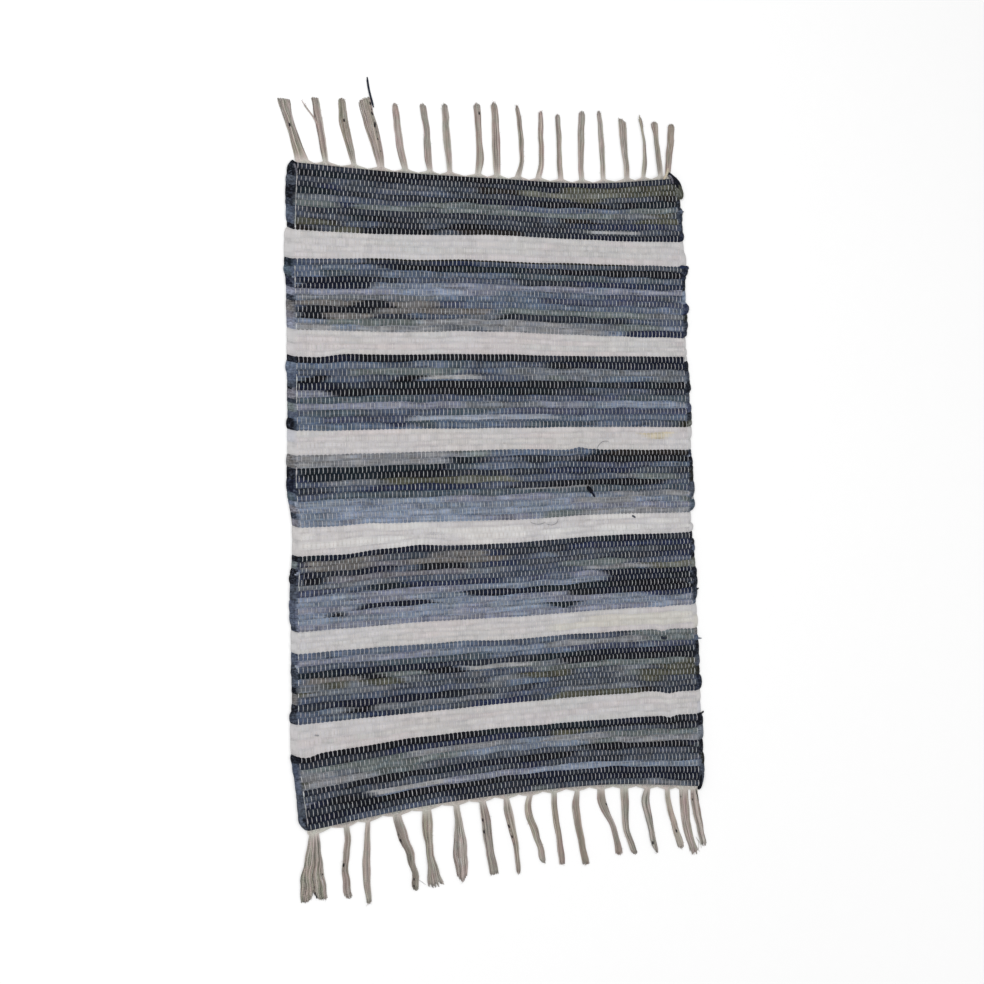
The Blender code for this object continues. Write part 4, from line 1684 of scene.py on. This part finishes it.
@dataclass
class Warp:
    """The cotton warp: yarns that pass over and under the picks by turns."""
    layout: Layout
    pale: Array
    over: float = 4.75
    crown: float = 0.35
    under: float = 0.62
    half_width: float = 0.54
    taper: float = 0.72
    half_height: float = 0.45
    stations: tuple[float, ...] = (0.2, 0.5, 0.8)
    sides: int = 4
    pieces: int = 4
    colour: Colour = (177, 178, 181)
    pale_colour: Colour = (207, 206, 204)
    pale_over: float = 4.5
    pale_change: float = 0.3
    tone_change: float = 0.10
    tick_change: float = 0.26
    tick_slant: float = 0.3
    tick_sink: float = 0.3
    width_change: float = 0.15
    tuck: float = 0.25
    end_height: float = 1.9
    edge_gap: float = 0.8
    edge_half_width: float = 0.6
    float_height: float = 5.2
    random: np.random.Generator = field(
        default_factory=lambda: np.random.default_rng(Seed.WARP_PATHS))

    def _path(self, number: int, shift: float) -> Array:
        """Path of one yarn.

        Args:
            number: the yarn's number from the left.
            shift: how far the yarn stands to the right of its place.

        Returns:
            Its points in millimetres.
        """
        picks = self.layout.picks
        stations = np.array(self.stations)
        levels = (np.arange(picks)[:, None] + stations).ravel()
        crown = np.tile(self.crown * (np.abs(stations - 0.5) < 0.1), picks)
        pick = np.floor(levels).astype(int)
        over = (number + pick) % 2 == 0
        uneven = np.repeat(self.random.uniform(-1, 1, (picks, 2)), len(stations), axis=0)
        top = np.where(self.pale[pick], self.pale_over, self.over + self.tick_sink * uneven[:, 0])
        z = np.where(over, top + crown, self.under - crown * 0.5)
        if shift:
            floats = np.any([(levels > low) & (levels < high) for low, high in FLOATS], axis=0)
            z = np.where(floats, self.float_height, self.under)
        levels = np.concatenate([[-self.tuck], levels, [picks + self.tuck]])
        z = np.pad(z, 1, constant_values=self.end_height)
        x = self.layout.warp_places(levels[:, None], np.array([[number]]))[:, 0] + shift
        lean = uneven[:, 1] * (np.tile(stations, picks) - 0.5) * 2
        x[1:-1] += self.tick_slant * lean
        return np.column_stack([x, self.layout.heights(levels, x), z])

    def _colours(self, tone: float, ticks: Array) -> Array:
        """Colours of one yarn: its own tone, with a change for each point that ticks gives."""
        tones = (tone * (1 + self.tick_change * ticks))[:, None]
        pale = np.pad(np.repeat(self.pale, len(self.stations)), 1, "edge")[:, None]
        return np.where(pale, linear(self.pale_colour) * (1 + (tones - 1) * self.pale_change),
                        linear(self.colour) * tones)

    def _half_widths(self, number: int, ticks: Array) -> Array:
        """Half the width of one yarn at each point: least where it dips between two picks."""
        half = self.edge_half_width if number == 0 else self.half_width
        dips = np.abs(np.array(self.stations) - 0.5) > 0.1
        widths = np.tile(1 - (1 - self.taper) * dips, self.layout.picks)
        widths = np.pad(widths, 1, constant_values=self.taper)
        return half * MM * widths * (1 + self.width_change * np.roll(ticks, 5))

    def build(self, material: Material) -> list[Piece]:
        """Build the yarns in several joined pieces.

        Args:
            material: the cotton's finish.

        Returns:
            The pieces from left to right.
        """
        random = np.random.default_rng(Seed.WARP_TONES)
        each = self.layout.warps // self.pieces
        built = []
        for piece in range(self.pieces):
            bundle = YarnBundle(self.sides, 1, each + 1)
            yarns = [(piece * each + index, 0.0) for index in range(each)]
            if piece == 0:
                yarns.insert(0, (0, -self.edge_gap))
            for number, shift in yarns:
                path = self._path(number, shift)
                tone = 1 + self.tone_change * random.uniform(-1, 1)
                ticks = random.uniform(-1, 1, self.layout.picks)
                ticks = np.pad(np.repeat(ticks, len(self.stations)), 1, "edge")
                bundle.add(self.layout.world(path), self._half_widths(number, ticks),
                           np.full(len(path), self.half_height * MM), self._colours(tone, ticks))
            built.append(bundle.parts.build(f"warp_yarns_{piece + 1}", YARN_COLOUR, material))
        return built


# -------- the fringes


@dataclass
class Fringe:
    """One end's warp yarns, gathered from the cloth's edge into tassels."""
    layout: Layout
    name: str
    tassels: tuple[Tassel, ...]
    level: int
    outward: int
    seed: Seed
    heading: float = 1.8
    root_reach: float = 5.6
    gather_reach: float = 7.0
    gather_steps: int = 9
    gather_overlap: float = 2.5
    strand_steps: int = 16
    strand_radius: float = 0.72
    strands_per_mm: float = 1.8
    sides: int = 5
    full_height: float = 4.0
    edge_height: float = 2.4
    packing: float = 0.8
    thinning: float = 0.25
    wander: float = 0.11
    layer_step: float = 0.618
    radius_change: float = 0.14
    tip_narrowing: float = 0.18
    tip_share: float = 0.6
    flatness: float = 0.9
    map_rows: int = 6
    colours: tuple[Colour, ...] = (
        (177, 171, 164), (165, 156, 148), (177, 161, 160), (151, 149, 134), (191, 185, 180),
        (131, 121, 112), (159, 141, 138), (107, 99, 92), (183, 173, 164))
    tints: tuple[Colour, ...] = (
        (167, 161, 154), (171, 155, 154), (157, 157, 146), (165, 163, 160), (159, 151, 138))
    tint_shades: Triple = (1.04, 1.0, 0.9)
    tint_share: float = 0.4
    tone_change: float = 0.26
    drift_change: float = 0.13
    # painted shade: how much darker the strands at a tassel's sides are than those in its middle
    painted_side_shade: float = 0.10
    fuzz_light: float = 1.15
    edge_colour: Colour = (189, 185, 180)
    fleck_colour: Colour = (30, 28, 34)
    fleck_half_length: float = 2.0
    fleck_radius: float = 0.95
    kink: float = 0.35
    fuzz: int = 24
    fuzz_radius: float = 0.12
    bundle: YarnBundle = field(init=False)
    random: np.random.Generator = field(init=False)

    def __post_init__(self) -> None:
        """Start the random numbers, and the bundle that every strand, fibre and fleck goes into."""
        self.random = np.random.default_rng(self.seed)
        total = sum(self._count(tassel) + self.fuzz for tassel in self.tassels)
        total += sum(len(flecks) for flecks in FLECKS.values())
        self.bundle = YarnBundle(self.sides, self.map_rows, math.ceil(total / self.map_rows))

    def edge(self, x: Array) -> Array:
        """Height up the rug of the cloth's edge at each place across it."""
        return self.layout.heights(np.full(np.shape(x), float(self.level)), x)

    def _gathers(self) -> list[Pair]:
        """Where each tassel's yarns leave the cloth: from and to, for each tassel."""
        left, right = self.layout.edges(np.array([float(self.level)]))
        low = left[0] + self.layout.left_turn(self.level) - 2
        high = right[0] - self.layout.right_turn + 2
        main = [tassel for tassel in self.tassels if tassel.neck > 3]
        middles = [(a.root + b.root) / 2 for a, b in zip(main, main[1:])]
        lows = [low, *(middle - self.gather_overlap for middle in middles)]
        highs = [*(middle + self.gather_overlap for middle in middles), high]
        bounds = dict(zip(main, zip(lows, highs)))
        return [bounds.get(tassel, (tassel.root - 1, tassel.root + 1)) for tassel in self.tassels]

    def _strand(self, tassel: Tassel, start: float, across: float, layer: float, reach: float,
                phase: float) -> Array:
        """Path of one strand, from inside the cloth's edge to its tip.

        Args:
            tassel: the tassel that it is in.
            start: where it leaves the cloth.
            across: its place across the tassel, from -1 to 1.
            layer: its place up the tassel, from 0 to 1.
            reach: how far its tip is from the cloth's edge.
            phase: where its waves start.

        Returns:
            Its points in millimetres.
        """
        away = np.linspace(self.gather_reach, self.root_reach + reach, self.strand_steps)
        share = (away - self.root_reach) / tassel.length
        middle = tassel.root + curve(TASSEL_MARKS, (0, tassel.near, tassel.far, tassel.tip), share)
        widths = (tassel.neck, tassel.waist, tassel.belly, tassel.brush)
        width = curve(TASSEL_MARKS, widths, share)
        half = np.maximum(width / 2 - self.strand_radius * 0.6, 0.2)
        wander = self.wander * np.sin(share * 7 + phase * 5) * np.sin(np.pi * share.clip(0, 1))
        wave = tassel.wave * np.sin(share * 21 + phase) * share.clip(0, 1) ** 0.5
        kink = self.kink * np.sin(share * 16 + phase * 37) * share.clip(0, 1)
        x = middle + half * np.clip(across + wander, -1.05, 1.05) + wave + kink
        stack = self._count(tassel) * (2 * self.strand_radius) ** 2 * self.packing / width
        height = np.clip(stack, 2 * self.strand_radius, self.full_height)
        height *= 1 - self.thinning * share
        z = self.strand_radius + layer * (height - 2 * self.strand_radius)
        t = np.linspace(0, 1, self.gather_steps)[:-1]
        shares = ((1 - t) ** 3, 3 * t * (1 - t) ** 2, 3 * t * t * (1 - t), t ** 3)
        span = x[0] - start
        gather_x = sum(s * v for s, v in zip(
            shares, (start, start + 0.02 * span, x[0] + 0.02 * span, x[0])))
        low = self.heading * (0.75 + 0.5 * layer)
        near_neck = min(1.0, 3.0 / (abs(span) + 0.1))
        turn = low + (self.gather_reach * 0.55 - low) * near_neck
        gather_away = sum(s * v for s, v in zip(shares, (-2.0, low * 1.9, turn, self.gather_reach)))
        gather_z = self.edge_height + (z[0] - self.edge_height) * t
        points_x = np.concatenate([gather_x, x])
        neck_edge = float(self.edge(x[:1])[0])
        base = np.concatenate([self.edge(gather_x), np.full(len(x), neck_edge)])
        points_y = base + self.outward * np.concatenate([gather_away, away])
        return np.column_stack([points_x, points_y, np.concatenate([gather_z, z])])

    def _count(self, tassel: Tassel) -> int:
        """Number of strands in a tassel."""
        body = (tassel.neck + tassel.waist + tassel.belly) / 3
        widest = 0.9 * max(tassel.belly, tassel.brush)
        return max(3, round(max(body, widest) * self.strands_per_mm))

    def _tone(self, along: Array, across: float, tints: Array) -> Array:
        """Colours along one strand, with painted shade on the strands at a tassel's sides.

        Args:
            along: shares along the tassel.
            across: the strand's place across it.
            tints: the tassel's own colours at its root, its middle and its tip, as light.

        Returns:
            A colour for each point.
        """
        picked = linear(self.colours[self.random.integers(len(self.colours))])
        tint = np.stack([np.interp(along, (0, 0.5, 1), tints[:, band]) for band in range(3)], 1)
        tone = (1 - self.tint_share) * picked + self.tint_share * tint
        tone = tone * (1 + self.tone_change * self.random.uniform(-1, 1))
        # painted shade on the strands towards the tassel's sides
        tone = tone * (1 - self.painted_side_shade * abs(across))
        near_edge = np.clip(1 - along * 9, 0, 1)[:, None]
        colours = tone * (1 - near_edge) + linear(self.edge_colour) * near_edge
        drift = np.interp(along, np.linspace(-0.1, 1.1, 9), self.random.uniform(-1, 1, 9))[:, None]
        return colours * (1 + self.drift_change * drift)

    def _add_strands(self, tassel: Tassel, gather: Pair, wave: float,
                     tints: Array) -> list[Array]:
        """Add the strands of one tassel.

        Args:
            tassel: the tassel.
            gather: from and to where its strands leave the cloth.
            wave: where its waves start.
            tints: the tassel's own colours at its root, its middle and its tip, as light.

        Returns:
            The strands' paths.
        """
        count = self._count(tassel)
        low, high = gather
        slope, bow, point, fork, ragged = tassel.cut.value
        random = self.random
        paths = []
        for index in range(count):
            across = (index + 0.5) / count * 2 - 1 + random.uniform(-1, 1) / count
            across = float(np.clip(across, -1, 1))
            layer = (index * self.layer_step + random.uniform(-0.1, 0.1)) % 1
            layer *= math.sqrt(1 - 0.75 * across * across)
            cut = 1 + slope * across - bow * across ** 2 - point * abs(across)
            cut -= fork * (1 - abs(across)) ** 3
            cut += ragged * random.uniform(-1, 1)
            start = low + index / (count - 1) * (high - low)
            start += random.uniform(-0.5, 0.5)
            phase = wave + random.uniform(-0.5, 0.5)
            path = self._strand(tassel, start, across, layer, tassel.length * cut, phase)
            away = np.abs(path[:, 1] - self.edge(path[:, 0])) - self.root_reach
            along = away / tassel.length
            radius = self.strand_radius * (1 + self.radius_change * random.uniform(-1, 1, len(path)))
            radius *= 1 - self.tip_narrowing * along.clip(0, 1)
            radius[-1] *= self.tip_share
            colours = self._tone(along, across, tints)
            self.bundle.add(self.layout.world(path), radius * MM, radius * MM * self.flatness, colours)
            paths.append(path)
        return paths

    def build(self, material: Material) -> Piece:
        """Build the whole fringe as one joined piece.

        Args:
            material: the cotton's finish.

        Returns:
            The fringe's object.
        """
        for number, (tassel, gather) in enumerate(zip(self.tassels, self._gathers())):
            wave = self.random.uniform(0, 6)
            tints = np.array([linear(self.tints[self.random.integers(len(self.tints))])
                              for _ in range(3)])
            tints *= np.array(self.tint_shades)[:, None]
            self._add_fuzz(self._add_strands(tassel, gather, wave, tints), tints)
            self._add_flecks(number, tassel, wave)
        return self.bundle.parts.build(f"{self.name}_tassels", YARN_COLOUR, material)

    def _add_flecks(self, number: int, tassel: Tassel, phase: float) -> None:
        """Add the flecks of lint that are caught in one tassel.

        Args:
            number: the tassel's number.
            tassel: the tassel.
            phase: where its waves start.
        """
        for share, across in FLECKS.get((self.name, number), ()):
            path = self._strand(tassel, tassel.root, across, 1.0, tassel.length, phase)
            shares = np.linspace(0, 1, self.strand_steps)
            size = 0.8 + 0.5 * math.sin(37 * share + number)
            half = self.fleck_half_length * size / tassel.length
            near = share + half * np.array([-1, -0.4, 0.4, 1])
            strand = path[-self.strand_steps:]
            speck = np.column_stack([np.interp(near, shares, strand[:, axis]) for axis in range(3)])
            speck[:, 2] += self.strand_radius * 0.9
            radius = self.fleck_radius * size * MM * np.array([0.5, 1.0, 0.9, 0.4])
            colours = np.tile(linear(self.fleck_colour), (len(speck), 1))
            self.bundle.add(self.layout.world(speck), radius, radius * 0.6, colours)

    def _add_fuzz(self, paths: list[Array], tints: Array) -> None:
        """Add the short fibres that stand out from one tassel.

        Args:
            paths: the paths of the tassel's strands.
            tints: the tassel's own colours, as light.
        """
        random = self.random
        for _ in range(self.fuzz):
            path = paths[random.integers(len(paths))]
            start = path[random.integers(self.gather_steps, len(path))]
            side = random.choice((-1, 1)) * random.uniform(0.6, 2.2)
            away = self.outward * random.uniform(0.6, 3.0)
            t = np.linspace(0, 1, 4)[:, None]
            fibre = start + t * (side, away, 0) + t * t * (0.4 * side, 0.0, 0.0)
            fibre[:, 2] += 0.4 * np.sin(np.pi * t[:, 0])
            radius = np.full(len(fibre), self.fuzz_radius * MM)
            colours = np.tile(tints[1] * self.fuzz_light, (len(fibre), 1))
            self.bundle.add(self.layout.world(fibre), radius, radius, colours)


@dataclass
class LooseEnds:
    """Stray threads, or frayed ends of rag, that lie on the rug."""
    layout: Layout
    name: str
    threads: tuple[str, ...]
    colour_name: str
    smoothing: int = 5
    sides: int = 8

    def build(self, material: Material) -> Piece:
        """Build every one as a joined piece.

        Args:
            material: their finish.

        Returns:
            The piece's object.
        """
        bundle = YarnBundle(self.sides, 2, math.ceil(len(self.threads) / 2))
        for cloth, half_width, half_height, points in map(Thread.read, self.threads):
            marks = np.arange(len(points))
            places = np.linspace(0, len(points) - 1, (len(points) - 1) * self.smoothing + 1)
            path = np.column_stack([curve(marks, points[:, axis], places) for axis in range(3)])
            near_end = np.sin(np.pi * np.clip(places / places[-1], 0.04, 0.96))
            taper = np.minimum(2.5 * near_end, 1) ** 0.5
            colours = np.tile(linear(cloth.value), (len(path), 1))
            bundle.add(self.layout.world(path), half_width * MM * taper, half_height * MM * taper,
                       colours)
        return bundle.parts.build(self.name, self.colour_name, material)


# -------- the studio


@dataclass
class Studio:
    """The floor, the lights and the camera."""
    floor_half: float = 6.0
    camera_place: Triple = (-0.71279, -0.03979, 1.91979)
    camera_turn: Triple = (0.0266908, -0.350021, -0.0355522)
    focal_pixels: float = 1450.0
    picture_side: float = 984.0
    sensor: float = 36.0
    world_light: float = 0.74
    key_place: Triple = (-1.5, 0.9, 2.7)
    key_side: float = 1.8
    key_power: float = 46.0
    fill_place: Triple = (1.8, -1.2, 2.2)
    fill_side: float = 2.0
    fill_power: float = 12.0

    def floor(self, material: Material) -> None:
        """Make the floor, level with the rug's underside."""
        half = self.floor_half
        corners = [(-half, -half, 0), (half, -half, 0), (half, half, 0), (-half, half, 0)]
        mesh = bpy.data.meshes.new("floor")
        mesh.from_pydata(corners, [], [(0, 1, 2, 3)])
        mesh.materials.append(material)
        floor = bpy.data.objects.new("floor", mesh)
        bpy.context.scene.collection.objects.link(floor)

    @staticmethod
    def _area_light(name: str, place: Triple, side: float, power: float) -> None:
        """Hang a square light that faces the rug.

        Args:
            name: the light's name.
            place: where it hangs.
            side: the length of its side.
            power: its power in watts.
        """
        data = bpy.data.lights.new(name, "AREA")
        data.shape = "SQUARE"
        data.size = side
        data.energy = power
        light = bpy.data.objects.new(name, data)
        x, y, z = place
        light.location = place
        light.rotation_euler = (math.atan2(math.hypot(x, y), z), 0, math.atan2(x, -y))
        bpy.context.scene.collection.objects.link(light)

    def lights(self) -> None:
        """Light the room softly from above, with a little more light from the upper left."""
        world = bpy.data.worlds.new("studio")
        world.use_nodes = True
        sky = world.node_tree.nodes["Background"]
        sky.inputs["Color"].default_value = (1, 1, 1, 1)
        sky.inputs["Strength"].default_value = self.world_light
        bpy.context.scene.world = world
        bpy.context.scene.view_settings.view_transform = "Standard"
        self._area_light("key_light", self.key_place, self.key_side, self.key_power)
        self._area_light("fill_light", self.fill_place, self.fill_side, self.fill_power)

    def camera(self) -> None:
        """Set the camera where the photograph was taken from."""
        data = bpy.data.cameras.new("camera")
        data.sensor_width = self.sensor
        data.lens = self.focal_pixels / self.picture_side * self.sensor
        data.clip_end = 50
        camera = bpy.data.objects.new("camera", data)
        camera.location = self.camera_place
        camera.rotation_euler = self.camera_turn
        bpy.context.scene.collection.objects.link(camera)
        bpy.context.scene.camera = camera


def settle(piece: Piece, slot: str, *nodes: str) -> Piece:
    """Let a piece ride on the rug's body.

    Args:
        piece: the piece.
        slot: not used.
        nodes: the model's nodes that it stands for.

    Returns:
        The piece.
    """
    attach(piece, BODY)
    if nodes:
        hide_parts(*nodes)
    LOG.info("%s: %d faces", piece.name, len(piece.data.polygons))
    return piece


def main() -> None:
    """Build the rug's pieces in order and set the studio round them."""
    logging.basicConfig(level=logging.INFO, format="%(message)s")
    studio = Studio()
    studio.floor(FloorFinish().material())
    studio.lights()
    studio.camera()
    layout = Layout()
    rags = RagFinish().material()
    cotton = CottonFinish().material()
    woven = RagCloth(layout)
    cloth = settle(woven.build(rags), RAG_SLOT, "rug")
    yarns = [settle(piece, COTTON_SLOT) for piece in Warp(layout, woven.pale).build(cotton)]
    top = Fringe(layout, "top", TOP_TASSELS, 0, 1, Seed.TOP_TASSELS)
    bottom = Fringe(layout, "bottom", BOTTOM_TASSELS, layout.picks, -1, Seed.BOTTOM_TASSELS, heading=3.2)
    tassels = [settle(top.build(cotton), COTTON_SLOT, "fringe_top"),
               settle(bottom.build(cotton), COTTON_SLOT, "fringe_bottom")]
    threads = LooseEnds(layout, "loose_threads", THREADS, YARN_COLOUR).build(cotton)
    shreds = LooseEnds(layout, "rag_shreds", SHREDS, RAG_COLOUR).build(rags)
    loose = [settle(threads, COTTON_SLOT), settle(shreds, RAG_SLOT)]
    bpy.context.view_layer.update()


if __name__ == "__main__":
    main()
